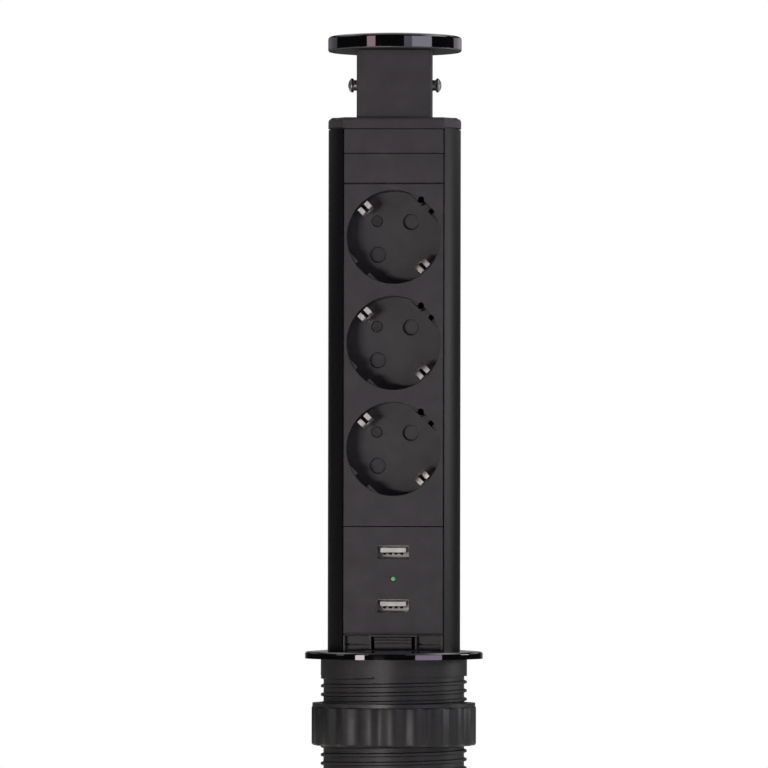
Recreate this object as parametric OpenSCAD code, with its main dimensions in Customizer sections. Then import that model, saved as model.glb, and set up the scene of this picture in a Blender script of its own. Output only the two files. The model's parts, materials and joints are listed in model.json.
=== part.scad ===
// Pull-up desk socket. A round column with three earthed sockets and two charging ports slides up
// out of a threaded sleeve, which a ring nut clamps in a round hole in a desk top.
// Millimetres. Z is up, the sockets face -Y, and Z = 0 is the desk top on the sleeve's axis.

/* [Column] */
// Diameter of the round column
tower_d = 54; // [53.5:0.5:58]
// Wall of the extruded column
profile_wall = 1.6; // [1.3:0.1:2]
// How far the front panels stand in front of the rail tips
panel_proud = 0.15; // [0:0.05:0.3]
// Height of the foot that shows between the bezel and the lowest panel
foot_h = 6.7; // [6.3:0.1:9]
// Length of column that stays in the sleeve when it is raised
engaged_h = 24; // [22:1:40]

/* [Neck and lid] */
// Thickness of the plate on top of the column
plate_t = 4.6; // [4:0.2:8]
// Width of the neck
neck_w = 30.5; // [29.5:0.5:36]
// Depth of the neck from front to back
neck_depth = 28; // [26:0.5:32]
// Height of the neck between the plate and the lid
neck_h = 27.4; // [25:0.2:40]
// Wall of the neck
neck_wall = 2.5; // [2:0.1:2.9]
// How far the lid reaches past the column all round
lid_over = 0.25; // [0.1:0.05:3]
// Thickness of the lid
lid_t = 5.6; // [5:0.2:9]
// Rounding of the lid's edge
lid_edge = 1.1; // [0.6:0.1:1.8]
// Rise of the lid's domed top
lid_crown = 1.8; // [1:0.1:3]

/* [Release] */
// Diameter of a release button's head
button_d = 6.4; // [5.6:0.2:8]
// Diameter of a release button's shank
shank_d = 4.4; // [3.8:0.1:4.6]
// Gap between a button's head and the neck
button_stand = 1.3; // [1.3:0.1:2]
// Height of the buttons' axis above the plate
button_rise = 13.8; // [12.6:0.1:15]
// Travel of a button, the release bar and the catch
release_travel = 1.2; // [0.8:0.1:1.2]
// Width of the catch at the column's foot
catch_w = 15.2; // [15:0.2:20]

/* [Front panels] */
// Thickness of a front panel in front of its tongue
panel_t = 2.9; // [2.6:0.1:3.2]
// Height of the charging panel
usb_panel_h = 43.8; // [42:0.2:56]
// Height of the blank panel above the sockets
filler_h = 12.1; // [8:0.1:20]
// Height of the blank strip under the top plate
head_h = 10; // [8:0.1:20]
// Joint between two panels
panel_gap = 0.2; // [0.1:0.05:0.5]

/* [Sockets] */
// Diameter of a socket recess
recess_d = 38; // [37.4:0.2:39]
// Depth of a socket recess
recess_depth = 17.5; // [16.5:0.1:18]
// Distance between neighbouring sockets
socket_pitch = 43; // [42.5:0.5:55]
// Distance from the panel's top edge to the first socket
top_socket_drop = 21.9; // [21.2:0.1:40]
// Distance from the panel's bottom edge to the last socket
bottom_socket_rise = 31.3; // [28:0.1:50]
// Distance between the two pins of a plug
pin_spacing = 19; // [18.6:0.1:19.6]
// Diameter of a pin hole
pin_hole_d = 6; // [5:0.1:6.4]
// Width of the notch in a socket's key flat
key_notch = 6.4; // [5:0.2:9]
// Width of an earth clip
clip_w = 5; // [4.4:0.1:5.6]

/* [Charging ports] */
// Width of a charging port
port_w = 13.1; // [12.6:0.1:14]
// Height of a charging port
port_h = 5.7; // [5.2:0.1:6.4]
// Distance between the two ports
port_pitch = 21.8; // [18:0.2:24]
// Distance from the panel's top edge to the upper port
top_port_drop = 10.5; // [9:0.1:12]
// Diameter of the status light
led_d = 1.8; // [1.6:0.1:3]

/* [Sleeve and clamp] */
// Height of the bezel above the desk
bezel_h = 3.4; // [3.2:0.1:5]
// How far the bezel reaches past the thread
bezel_reach = 6.5; // [5:0.25:10]
// Gap between the column and the sleeve
slide_clear = 0.45; // [0.4:0.05:0.8]
// Wall of the sleeve under the thread
sleeve_wall = 1.2; // [1:0.1:2]
// Height of the thread
thread_depth = 1.1; // [0.9:0.05:1.3]
// Rise of the thread in one turn
thread_pitch = 3.5; // [3.4:0.1:5]
// Length of the thread
thread_len = 55; // [45:1:80]
// Plain length above the thread
spigot_h = 7; // [6:0.5:10]
// Thickness of the desk in the clamp
desk_t = 18; // [12:0.5:28]
// Height of the ring nut
nut_h = 15.8; // [12:0.2:20]
// How far the ring nut reaches past the thread
nut_reach = 3.75; // [3:0.05:6]
// Rounding of the ring nut's lower edge
nut_edge = 1; // [0.4:0.1:2]
// Number of flutes round the ring nut
flute_count = 20; // [12:1:24]
// Room for the folded supply cord under the lowered column
cord_room = 16; // [10:1:60]
// Bore of the cord inlet
cord_bore = 8.8; // [6:0.2:11]

/* [Hidden] */
$fn = 64;
// Overlap that joins two solids of one piece
weld = 0.3;
// Excess of a cut past the face it opens
past = 1;
// Gap at a drop-in seat
slip = 0.2;
// Gap between sliding guides
run_gap = 0.3;

tower_r = tower_d / 2;
inner_r = tower_r - profile_wall;
cup_wall = 1.1;
rail_gap = 0.5;
recess_r = recess_d / 2;
cup_r = recess_r + cup_wall;
front_half = cup_r + rail_gap;
face_y = sqrt(tower_r * tower_r - front_half * front_half) + panel_proud;

// Panel tongues run in grooves behind the rail tips
panel_side_gap = 0.4;
panel_half = front_half - panel_side_gap;
tongue_t = 1.3;
groove_d = 0.7;
tongue_half = front_half + groove_d - slip;
tongue_y = -face_y + panel_t;
panel_back = tongue_y + tongue_t;
seam_d = 1.2;
seam_up = 0.5;
seam_down = 0.3;
seam_top = 0.25;
groove_gap = 0.1;
jamb_lip = 1.3;

// Screw ports inside the column
port_r = 1.7;
port_hole_r = 1;
port_in = 1.4;
port_c = inner_r - port_in;
port_screw_ease = 0.05;
port_screw_len = 8;
port_angles = [-20, 45, 135, 200];

// Levels from the desk up
z_panels = bezel_h + foot_h;
z_sockets = z_panels + usb_panel_h;
socket_panel_h = top_socket_drop + 2 * socket_pitch + bottom_socket_rise;
z_filler = z_sockets + socket_panel_h;
z_head = z_filler + filler_h;
z_plate = z_head + head_h;
z_neck = z_plate + plate_t;
z_lid = z_neck + neck_h;
z_axis = z_neck + button_rise;
function socket_z(i) = z_filler - top_socket_drop - i * socket_pitch;
socket_ids = [0, 1, 2];

// Lid, plate and neck
lid_r = tower_r + lid_over;
dome_steps = 720;
lid_dome_r = (lid_r * lid_r + lid_crown * lid_crown) / (2 * lid_crown);
dome_z = lid_t + lid_crown - lid_dome_r;
// The rounded edge touches the dome from inside
edge_x = lid_r - lid_edge;
edge_z = dome_z + sqrt((lid_dome_r - lid_edge) * (lid_dome_r - lid_edge) - edge_x * edge_x);
dome_x = edge_x * lid_dome_r / (lid_dome_r - lid_edge);
plate_over = 0.1;
shadow_gap = 0.6;
shadow_depth = 1.1;
plate_r = tower_r + plate_over;
neck_half = neck_w / 2;
neck_in_half = neck_half - neck_wall;
neck_in_y = neck_depth / 2 - neck_wall;
neck_edge = 1.2;
boss_r = 2.3;
boss_inset = 1.9;
long_screw_r = 1.2;
long_hole_r = 1.4;
long_screw_ease = 0.02;
long_head_r = 2.4;
long_head_t = 1.6;
boss_x = neck_in_half - boss_inset;
boss_y = neck_in_y - boss_inset;
lid_roof = 1.6;
drive_w = 0.7;

// Release buttons, crosshead and bar
button_r = button_d / 2;
shank_r = shank_d / 2;
button_head_t = 2.5;
head_taper = 0.8;
bush_wall = 0.9;
bush_gap = 0.08;
bush_seat_gap = 0.05;
bush_r = shank_r + bush_gap + bush_wall;
bush_flange_w = 0.9;
bush_flange_r = bush_r + bush_flange_w;
bush_flange_t = 0.8;
collar_t = 1;
collar_w = 0.9;
collar_r = shank_r + collar_w;
collar_gap = 0.05;
nose_half = 2.4;
nose_len = 4.85;
collar_x = neck_in_half - bush_flange_t - collar_gap;
nose_x = collar_x - collar_t - nose_len;
ramp_gap = 0.2;
cross_top = -1.6;
cross_low = -7.6;
cross_reach = 3;
cross_half = nose_x + cross_reach;
cross_y0 = -4;
cross_y1 = 6;
bar_t = 1.5;
bar_half = 4;
bar_in = 1.9;
bar_back = inner_r - bar_in;
jog_t = 1.6;
jog_drop = 7;
z_jog = z_plate - jog_drop;
foot_half = 2.6;
foot_lift = 0.4;
z_bar_foot = z_panels + foot_lift;
bar_way = 0.4;

// Wound springs
coil_steps = 16;
release_coil_r = 3.2;
release_wire_r = 0.4;
release_turns = 4;
catch_coil_r = 1.5;
catch_wire_r = 0.3;
catch_turns = 3;
shutter_coil_gap = 0.5;
shutter_wire_r = 0.25;
shutter_turns = 1.25;

// Catch at the foot, with a wedge window for the bar's finger
catch_half = catch_w / 2;
catch_gap = 0.5;
catch_play = 0.2;
catch_side = 1.2;
catch_proud = 0.05;
catch_front = -face_y - catch_proud;
ridge_r = 0.35;
ridge_places = [0.52, 0.82];
catch_lead_h = 1.1;
catch_lead_d = 0.35;
catch_len = 10.05;
catch_back = catch_front + catch_len;
z_catch = bezel_h + catch_gap;
catch_head_gap = 1.3;
z_catch_top = z_panels - catch_head_gap;
finger_in = 4.75;
finger_front = catch_front + finger_in;
finger_t = 3.2;
finger_tip_up = 1.5;
finger_tip_z = z_catch + finger_tip_up;
finger_tip_t = 0.4;
window_half = foot_half + bar_way;
window_room = 1.6;
window_front = finger_front - window_room;
spring_room = 4;
catch_spring_in = 2;
catch_spring_x = catch_half - catch_spring_in;

// Foot block in the bottom of the column
z_foot_end = -engaged_h;
foot_flange_t = 7.5;
z_seat = z_foot_end + foot_flange_t;
z_block_top = z_panels - slip;
block_gap = 0.3;
block_front = face_y - block_gap;
stop_gap = 0.3;
bay_wall = 0.9;
bay_depth = 3.2;
bay_top = 0.5;
bay_groove_up = 3.3;
bay_groove_h = 0.8;
bay_groove_d = 2.4;
bay_in = catch_half + catch_side + bay_wall;
stop_half = 9;
stop_low = -14;
stop_front = -sqrt((tower_r - slip) * (tower_r - slip) - stop_half * stop_half);
pad_up = 1.2;
z_pad = z_foot_end + pad_up;
cord_in = 15;
cord_x = tower_r - cord_in;
cord_y = 6;
cord_r = cord_bore / 2;
cord_bush_wall = 1.6;
cord_bush_lip = 1;
bush_out_r = cord_r + cord_bush_wall;
bush_lip_r = bush_out_r + cord_bush_lip;
bush_lip_t = 1.5;
pad_angles = [20, 90, 160];
pad_w = 6;
pad_h = 5;
pad_depth = 1.6;

// Sleeve, bezel and clamp
bore_r = tower_r + slide_clear;
root_r = bore_r + sleeve_wall;
crest_r = root_r + thread_depth;
bezel_r = crest_r + bezel_reach;
bezel_rim = 3;
flange_r = bezel_r - bezel_rim;
flange_t = 2;
gasket_t = 0.8;
gasket_w = 1.6;
gasket_in_r = (crest_r + flange_r - gasket_w) / 2;
z_lip = flange_t;
z_bay = z_lip + stop_gap;
lip_clear = 0.8;
bezel_ease = 0.05;
bezel_bore_r = bore_r + bezel_ease;
bezel_slope = 0.6;
bezel_edge = 0.9;
wiper_h = 3;
wiper_top = -2;
wiper_lip = 0.25;
wiper_d = 0.9;
seg = 24;
thread_gap = 0.35;
flank_gap = 0.3;
crest_half = 0.45;
flank = 0.5;
// A flank's rise over the weld that sinks it into its wall
flank_weld = flank * weld / thread_depth;
spigot_over = 0.05;
spigot_r = crest_r + spigot_over;
z_thread = -spigot_h - thread_len;
washer_t = 1.5;
washer_gap = 0.3;
nut_r = crest_r + nut_reach;
z_washer = -desk_t - washer_t;
z_nut = z_washer - nut_h;
nut_bore_r = crest_r + thread_gap;
nut_minor_r = root_r + thread_gap;
nut_flank_half = thread_pitch / 2 - crest_half + flank * thread_gap / thread_depth - flank_gap;
nut_crest_half = nut_flank_half - flank;
nut_margin = nut_flank_half + flank_gap;
nut_start = z_thread + (ceil((z_nut + nut_margin - z_thread) / thread_pitch - 0.5) + 0.5) * thread_pitch;
nut_turns = floor((z_washer - nut_margin - nut_start) / thread_pitch * seg) / seg;
flute_r = 3.2;
flute_depth = 1.2;
lid_gap = 0.3;
lift = z_lid - bezel_h - lid_gap;
z_tube_end = z_foot_end - lift - cord_room;
cap_t = 4;
cap_skirt = 10;
cap_wall = 2.2;
cap_gap = 0.1;
lug_w = 8;
lug_h = 4;
lug_angles = [30, 150, 270];
z_lug = z_tube_end + cap_skirt / 2 - lug_h / 2;
grommet_groove = 1.6;
grommet_lip = 1.8;
grommet_lip_t = 1.6;

// Small screws
small_screw_r = 0.95;
small_head_r = 1.9;
small_head_t = 1.3;

// Socket works, measured back from the front face
y_floor = -face_y + recess_depth;
base_t = 1.6;
shutter_room = 3.4;
y_base_back = y_floor + base_t;
y_carrier = y_base_back + shutter_room;
rim_w = 1.4;
post_r = 2;
pivot_gap = 0.06;
shutter_t = 1.7;
shutter_front = 0.3;
lobe_r = 3.4;
hub_r = 3.5;
arm_w = 3.6;
key_in = 1.9;
key_r = recess_r - key_in;
key_half = 8.6;
key_drop = 1;
key_gap = 3.7;
key_gap_side = -0.45;
key_hole_r = 1.2;
key_hole_in = 1.5;
key_hole_side = 2.9;
key_slot_in = 1.15;
key_slot_side = -3.6;
key_slot_w = 1.5;
key_slot_l = 1.6;
key_hole_deep = 9;
base_screw_c = 10;
base_screw_r = 1.1;
base_head_r = 1.95;
base_head_t = 0.9;
base_boss_r = 2.2;
base_screw_hold = 0.43;
pin_x = pin_spacing / 2 / sqrt(2);
carrier_port_gap = 0.45;
carrier_half = port_c * cos(port_angles[1]) - port_r - carrier_port_gap;
carrier_end = 4;
rear_room = 6.4;
carrier_back = inner_r - rear_room;
bar_strip_t = 1;
strip_in = 2.4;
strip_y = carrier_back - strip_in;
// The base screws hold in part of the carrier in front of the strips
base_screw_grip = base_screw_hold * (strip_y - y_carrier);
bar_end_over = 1;
tube_r = 3.5;
tube_in_r = 2.45;
tube_in = 0.6;
tube_front = y_carrier + tube_in;
tube_slot = 0.8;
tube_end_t = 1;
tube_slot_end = (tube_front + strip_y) / 2;
clip_t = 0.8;
clip_in = 1.8;
clip_r = recess_r - clip_in;
clip_bow = 2.4;
clip_slit = 1.4;
clip_tip_drop = 3.2;
clip_tip_len = 3.6;
earth_w = 6;
insulator_t = 0.5;
insulator_in = 2;
panel_post_r = 2.7;
carrier_screw_r = 1.1;
carrier_screw_len = 8;
carrier_edge = 1;
carrier_screw_x = carrier_half - carrier_edge - small_head_r - slip;
// The strips end short of the carrier screws' heads
bar_strip_w = 2 * (carrier_screw_x - small_head_r - 2 * slip - pin_x);

// Charging board and its pieces
port_wall = 0.35;
port_inset = 0.15;
port_frame_gap = 0.15;
port_lip_in = 0.25;
port_lip_t = 0.9;
port_depth = 13.4;
board_y = -face_y + port_inset + port_depth;
board_t = 1.6;
board_half = 17;
board_low = 3.8;
board_high = 2.2;
z_board = z_panels + board_low;
board_h = usb_panel_h - board_low - board_high;
board_back = board_y + board_t;
board_post_x = 14;
board_post_in = 4;
board_post_r = 2.4;
board_post_zs = [z_board + board_post_in, z_board + board_h - board_post_in];
board_screw_len = 6;
tongue_side = 1.35;
tongue_w = port_w - 2 * tongue_side;
tongue_h = 1.8;
tongue_up = 0.8;
tongue_base = 6.5;
tongue_inset = 1.2;
pin_w = 1;
pin_t = 0.2;
pin_pitch = 2.3;
pin_inset = 0.6;
function port_z(i) = z_sockets - top_port_drop - i * port_pitch;
led_z = (port_z(0) + port_z(1)) / 2;
term_h = 12;
term_half = 12;
term_reach = 7.6;
term_front = strip_y - term_reach;
term_screw_t = 1.4;
term_slot = 0.3;
term_back = 0.8;
term_wire_r = 1.7;
z_term = z_sockets + carrier_end - term_h;
core_side = 1;
core_w = 15;
core_h = 12.6;
core_d = 13;
core_up = 8;
winding_in = 3;
winding_d = 11;
winding_over = 1.6;
can_r = 3.8;
can_h = 11;
can_pitch = 8.2;
can_x = -8.4;
can_gap = 1.4;
z_cans = z_board + core_up + core_h + winding_over + can_gap + can_r;

echo(front_width = 2 * panel_half, overall_height = z_lid + lid_t, travel = lift, tube_end = z_tube_end);
echo(thread_diameter = 2 * crest_r, bezel_diameter = 2 * bezel_r, nut_diameter = 2 * nut_r);

// A flat shape in X and Z, drawn out along Y
module along_y(y0, y1) {
    translate([0, y1, 0]) rotate([90, 0, 0]) linear_extrude(y1 - y0) children();
}

// A flat shape in Y and Z, drawn out along X
module along_x(x0, x1) {
    translate([x0, 0, 0]) rotate([90, 0, 90]) linear_extrude(x1 - x0) children();
}

// A flat shape in X and Y, drawn up along Z
module along_z(z0, z1) {
    translate([0, 0, z0]) linear_extrude(z1 - z0) children();
}

module block(x0, x1, y0, y1, z0, z1) {
    translate([x0, y0, z0]) cube([x1 - x0, y1 - y0, z1 - z0]);
}

module ring_2d(r_out, r_in) {
    difference() {
        circle(r_out);
        circle(r_in);
    }
}

// A disc whose front is cut off flat
module front_flat_2d(r, flat) {
    intersection() {
        circle(r);
        translate([-r - past, -flat]) square([2 * r + 2 * past, flat + r + past]);
    }
}

module rounded_2d(w, d, r) {
    square([w - 2 * r, d], center = true);
    square([w, d - 2 * r], center = true);
    for (sx = [-1, 1]) {
        for (sy = [-1, 1]) {
            translate([sx * (w / 2 - r), sy * (d / 2 - r)]) circle(r);
        }
    }
}

// A closed outline in radius and height, swept up a right-hand helix
module helix(outline, pitch, turns, steps) {
    n = round(turns * steps);
    m = len(outline);
    rings = [for (i = [0:n]) for (p = outline)
        [p[0] * cos(360 * i / steps), p[0] * sin(360 * i / steps), p[1] + pitch * i / steps]];
    sides = [for (i = [0:n - 1]) for (j = [0:m - 1]) for (h = [0, 1])
        h == 0
            ? [i * m + j, (i + 1) * m + j, (i + 1) * m + (j + 1) % m]
            : [i * m + j, (i + 1) * m + (j + 1) % m, i * m + (j + 1) % m]];
    foot_cap = [[for (j = [0:m - 1]) j]];
    head_cap = [[for (j = [0:m - 1]) n * m + m - 1 - j]];
    polyhedron(points = rings, faces = concat(sides, foot_cap, head_cap), convexity = 8);
}

// A round wire wound into an open coil that stands on Z = 0
module coil(r, wire_r, height, turns, steps) {
    sides = 8;
    outline = [for (j = [0:sides - 1])
        [r + wire_r * cos(-360 * j / sides), wire_r + wire_r * sin(-360 * j / sides)]];
    helix(outline, (height - 2 * wire_r) / turns, turns, steps);
}

// Ring over the sleeve's flange; its lip at the front keys the column's flat
module bezel_ring() {
    color("#0b0b0d") {
        rotate_extrude() {
            difference() {
                polygon([[bezel_bore_r, 0], [bezel_r, 0], [bezel_r, bezel_h - bezel_slope - bezel_edge],
                    [bezel_r - bezel_edge, bezel_h - bezel_slope], [bezel_bore_r, bezel_h]]);
                translate([bezel_bore_r - past, -past])
                    square([flange_r + slip - bezel_bore_r + past, z_lip + past]);
            }
            translate([bezel_r - bezel_edge, bezel_h - bezel_slope - bezel_edge]) circle(bezel_edge);
        }
        along_z(z_lip, bezel_h) difference() {
            circle(bezel_bore_r + weld);
            front_flat_2d(bezel_bore_r + 2 * weld, face_y + lip_clear);
        }
    }
}

module threaded_sleeve() {
    color("#262626") {
        difference() {
            union() {
                along_z(z_tube_end, z_lip) circle(root_r);
                along_z(-spigot_h, z_lip) circle(spigot_r);
                along_z(0, z_lip) circle(flange_r);
                translate([0, 0, z_thread]) helix(
                    [[root_r - weld, crest_half + flank + flank_weld],
                        [crest_r, crest_half], [crest_r, -crest_half],
                        [root_r - weld, -crest_half - flank - flank_weld]],
                    thread_pitch, thread_len / thread_pitch, seg);
            }
            along_z(z_tube_end - past, z_lip + past) circle(bore_r);
            along_z(wiper_top - wiper_h, wiper_top) circle(bore_r + wiper_d);
            along_z(-past, gasket_t) ring_2d(gasket_in_r + gasket_w, gasket_in_r);
            for (a = lug_angles) {
                rotate(a) block(bore_r - past, root_r + past, -lug_w / 2 - slip, lug_w / 2 + slip,
                    z_lug - slip, z_lug + lug_h + slip);
            }
        }
    }
}

module desk_gasket() {
    color("#1c1c1c") along_z(0, gasket_t)
        ring_2d(gasket_in_r + gasket_w - groove_gap, gasket_in_r + groove_gap);
}

// A felt ring in the sleeve's groove wipes the column
module wiper_seal() {
    color("#303030") along_z(wiper_top - wiper_h + groove_gap, wiper_top - groove_gap)
        ring_2d(bore_r + wiper_d - groove_gap, tower_r + wiper_lip);
}

module tube_end_cap() {
    color("#2a2a2a") {
        difference() {
            union() {
                along_z(z_tube_end - cap_t, z_tube_end) circle(root_r);
                along_z(z_tube_end - weld, z_tube_end + cap_skirt)
                    ring_2d(bore_r - cap_gap, bore_r - cap_gap - cap_wall);
                for (a = lug_angles) {
                    rotate(a) intersection() {
                        block(bore_r - cap_wall, root_r + past, -lug_w / 2, lug_w / 2,
                            z_lug, z_lug + lug_h);
                        along_z(z_tube_end, z_tube_end + cap_skirt) circle(root_r - slip);
                    }
                }
            }
            along_z(z_tube_end - cap_t - past, z_tube_end + past) circle(cord_r + grommet_groove);
        }
    }
}

module cord_grommet() {
    color("#171717") translate([0, 0, z_tube_end - cap_t]) rotate_extrude() {
        translate([cord_r, -grommet_lip_t])
            square([grommet_groove - cap_gap, cap_t + 2 * grommet_lip_t]);
        translate([cord_r, -grommet_lip_t]) square([grommet_groove + grommet_lip, grommet_lip_t]);
        translate([cord_r, cap_t]) square([grommet_groove + grommet_lip, grommet_lip_t]);
    }
}

module clamp_washer() {
    color("#2a2a2c") along_z(z_washer, -desk_t) ring_2d(nut_r - washer_gap, crest_r + washer_gap);
}

module ring_nut() {
    color("#222321") {
        difference() {
            rotate_extrude() {
                translate([nut_bore_r, z_nut]) square([nut_r - nut_edge - nut_bore_r, nut_h]);
                translate([nut_bore_r, z_nut + nut_edge]) square([nut_r - nut_bore_r, nut_h - nut_edge]);
                translate([nut_r - nut_edge, z_nut + nut_edge]) circle(nut_edge);
            }
            for (k = [0:flute_count - 1]) {
                rotate(360 * (k + 0.5) / flute_count) translate([nut_r + flute_r - flute_depth, 0, 0])
                    along_z(z_nut - past, z_washer + past) circle(flute_r);
            }
        }
        // The nut's own thread lies half a turn's rise away from the sleeve's
        translate([0, 0, nut_start]) helix(
            [[nut_bore_r + weld, -nut_flank_half - flank_weld], [nut_minor_r, -nut_crest_half],
                [nut_minor_r, nut_crest_half], [nut_bore_r + weld, nut_flank_half + flank_weld]],
            thread_pitch, nut_turns, seg);
    }
}

// Extruded column, open at the front between two rails
module profile_2d() {
    difference() {
        union() {
            ring_2d(tower_r, inner_r);
            intersection() {
                circle(tower_r);
                for (s = [-1, 1]) {
                    translate([s > 0 ? front_half : -tower_r, -tower_r])
                        square([tower_r - front_half, tower_r + panel_back + groove_gap + jamb_lip]);
                }
            }
            for (a = port_angles) {
                rotate(a) translate([port_c, 0]) circle(port_r);
            }
        }
        translate([-front_half, -tower_r - past]) square([2 * front_half, tower_r + past + panel_back]);
        translate([-front_half - groove_d, tongue_y - groove_gap])
            square([2 * front_half + 2 * groove_d, tongue_t + 2 * groove_gap]);
        for (a = port_angles) {
            rotate(a) translate([port_c, 0]) circle(port_hole_r);
        }
    }
}

module body_profile() {
    color("#3a393b") along_z(z_seat, z_plate) profile_2d();
}

// A front panel with tongues on both sides
module panel_plate(z0, h) {
    block(-panel_half, panel_half, -face_y, tongue_y + weld, z0, z0 + h - panel_gap);
    block(-tongue_half, tongue_half, tongue_y, panel_back, z0, z0 + h - panel_gap);
}

// Shallow rebate across the front that makes a joint show as a dark line
module front_seam(z0, z1) {
    block(-panel_half - past, panel_half + past, -face_y - past, -face_y + seam_d, z0, z1);
}

module head_strip() {
    color("#3e3c3e") panel_plate(z_head, head_h);
}

module filler_panel() {
    color("#403e40") panel_plate(z_filler, filler_h);
}

// Key flats at the upper right and lower left of a socket, each with a notch
module keys_2d() {
    intersection() {
        circle(recess_r + cup_wall / 2);
        for (key = [[45, key_gap, key_gap_side], [225, key_notch, 0]]) {
            rotate(key[0]) difference() {
                translate([key_r, -key_half]) square([recess_r, 2 * key_half]);
                translate([key_r - past, key[2] - key[1] / 2]) square([recess_r, key[1]]);
            }
        }
    }
}

// Latch hole and slot at the two ends of the upper key's notch
module key_holes_2d() {
    rotate(45) {
        translate([key_r + key_hole_in, key_hole_side]) circle(key_hole_r);
        translate([key_r + key_slot_in, key_slot_side]) square([key_slot_w, key_slot_l], center = true);
    }
}

// Places of the posts that carry the contact carrier, between neighbouring sockets
function post_z(i) = (socket_z(i) + socket_z(i + 1)) / 2;

module socket_panel() {
    color("#424042") difference() {
        union() {
            difference() {
                union() {
                    panel_plate(z_sockets, socket_panel_h);
                    for (i = socket_ids) {
                        translate([0, 0, socket_z(i)]) along_y(tongue_y, y_floor) circle(cup_r);
                    }
                    for (i = [0, 1]) {
                        for (s = [-1, 1]) {
                            translate([s * carrier_screw_x, 0, post_z(i)])
                                along_y(tongue_y, y_carrier) circle(panel_post_r);
                        }
                    }
                }
                for (i = socket_ids) {
                    translate([0, 0, socket_z(i)])
                        along_y(-face_y - past, y_floor + past) circle(recess_r);
                }
                for (i = [0, 1]) {
                    for (s = [-1, 1]) {
                        translate([s * carrier_screw_x, 0, post_z(i)])
                            along_y(y_carrier - carrier_screw_len, y_carrier + past) circle(carrier_screw_r);
                    }
                }
            }
            for (i = socket_ids) {
                translate([0, 0, socket_z(i)]) along_y(-face_y + key_drop, y_floor) keys_2d();
            }
        }
        for (i = socket_ids) {
            translate([0, 0, socket_z(i)])
                along_y(-face_y - past, -face_y + key_hole_deep) key_holes_2d();
        }
        front_seam(z_filler - panel_gap - seam_top, z_filler);
    }
}

module clip_slots_2d() {
    for (a = [135, 315]) {
        rotate(a) translate([clip_r - clip_t / 2, 0])
            square([clip_t + 2 * slip, clip_w + 2 * slip], center = true);
    }
}

// Floor of one socket with its pin holes, the shutter's pivot and a fixing screw
module socket_base(i) {
    color("#454345") translate([0, 0, socket_z(i)]) difference() {
        union() {
            along_y(y_floor, y_base_back) circle(cup_r);
            along_y(y_base_back, y_carrier) ring_2d(cup_r, cup_r - rim_w);
            along_y(y_base_back, y_carrier) circle(post_r);
            along_y(y_base_back, y_carrier) rotate(135) translate([base_screw_c, 0]) circle(base_boss_r);
        }
        for (a = [45, 225]) {
            along_y(y_floor - past, y_base_back + past) rotate(a) translate([pin_spacing / 2, 0])
                circle(pin_hole_d / 2);
        }
        along_y(y_floor - past, y_base_back + past) clip_slots_2d();
        along_y(y_floor - past, y_carrier + past) rotate(135) translate([base_screw_c, 0])
            circle(base_screw_r + slip / 2);
        along_y(y_floor - past, y_floor + base_head_t) rotate(135) translate([base_screw_c, 0])
            circle(base_head_r + slip / 2);
    }
}

module socket_base_1() {
    socket_base(0);
}

module socket_base_2() {
    socket_base(1);
}

module socket_base_3() {
    socket_base(2);
}

module socket_base_screws() {
    color("#6f7072") for (i = socket_ids) {
        translate([0, 0, socket_z(i)]) difference() {
            union() {
                along_y(y_floor, y_floor + base_head_t) rotate(135) translate([base_screw_c, 0])
                    circle(base_head_r);
                along_y(y_floor, y_carrier + base_screw_grip) rotate(135) translate([base_screw_c, 0])
                    circle(base_screw_r);
            }
            along_y(y_floor - past, y_floor + base_head_t / 2) rotate(135) translate([base_screw_c, 0]) {
                square([2 * base_head_r - 2 * drive_w, drive_w], center = true);
                square([drive_w, 2 * base_head_r - 2 * drive_w], center = true);
            }
        }
    }
}

// Child-safety shutter that turns on the socket's post
module shutter(i) {
    color("#4c4a4c") translate([0, 0, socket_z(i)])
        along_y(y_base_back + shutter_front, y_base_back + shutter_front + shutter_t) difference() {
            union() {
                circle(hub_r);
                rotate(45) square([pin_spacing, arm_w], center = true);
                for (a = [45, 225]) {
                    rotate(a) translate([pin_spacing / 2, 0]) circle(lobe_r);
                }
            }
            circle(post_r + pivot_gap);
        }
}

module shutter_1() {
    shutter(0);
}

module shutter_2() {
    shutter(1);
}

module shutter_3() {
    shutter(2);
}

// Wound return springs round the shutters' posts
module shutter_springs() {
    color("#b9bbbd") for (i = socket_ids) {
        translate([0, y_base_back + shutter_front + shutter_t + groove_gap, socket_z(i)]) rotate([-90, 0, 0])
            coil(post_r + shutter_coil_gap + shutter_wire_r, shutter_wire_r,
                shutter_room - shutter_front - shutter_t - 2 * groove_gap, shutter_turns, coil_steps);
    }
}

// Insulating block behind the sockets that holds the contact bars
module contact_carrier() {
    color("#2e2d2f") difference() {
        along_z(z_sockets + carrier_end, z_filler - carrier_end) intersection() {
            translate([-carrier_half, y_carrier]) square([2 * carrier_half, carrier_back - y_carrier]);
            circle(inner_r - run_gap);
        }
        for (i = socket_ids) {
            translate([0, 0, socket_z(i)]) {
                for (a = [45, 225]) {
                    along_y(y_carrier - past, strip_y + past) rotate(a) translate([pin_spacing / 2, 0])
                        circle(tube_r + slip);
                }
                along_y(y_carrier - past, carrier_back + past) clip_slots_2d();
                along_y(y_carrier - past, y_carrier + base_screw_grip + past) rotate(135)
                    translate([base_screw_c, 0]) circle(base_screw_r);
            }
        }
        for (s = [-1, 1]) {
            translate([s * pin_x, 0, 0]) block(-bar_strip_w / 2 - slip, bar_strip_w / 2 + slip,
                strip_y, carrier_back + past, z_sockets, z_filler);
        }
        for (i = [0, 1]) {
            for (s = [-1, 1]) {
                translate([s * carrier_screw_x, 0, post_z(i)]) {
                    along_y(y_carrier - past, carrier_back + past) circle(carrier_screw_r + slip);
                    along_y(strip_y, carrier_back + past) circle(small_head_r + slip);
                }
            }
        }
    }
}

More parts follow.
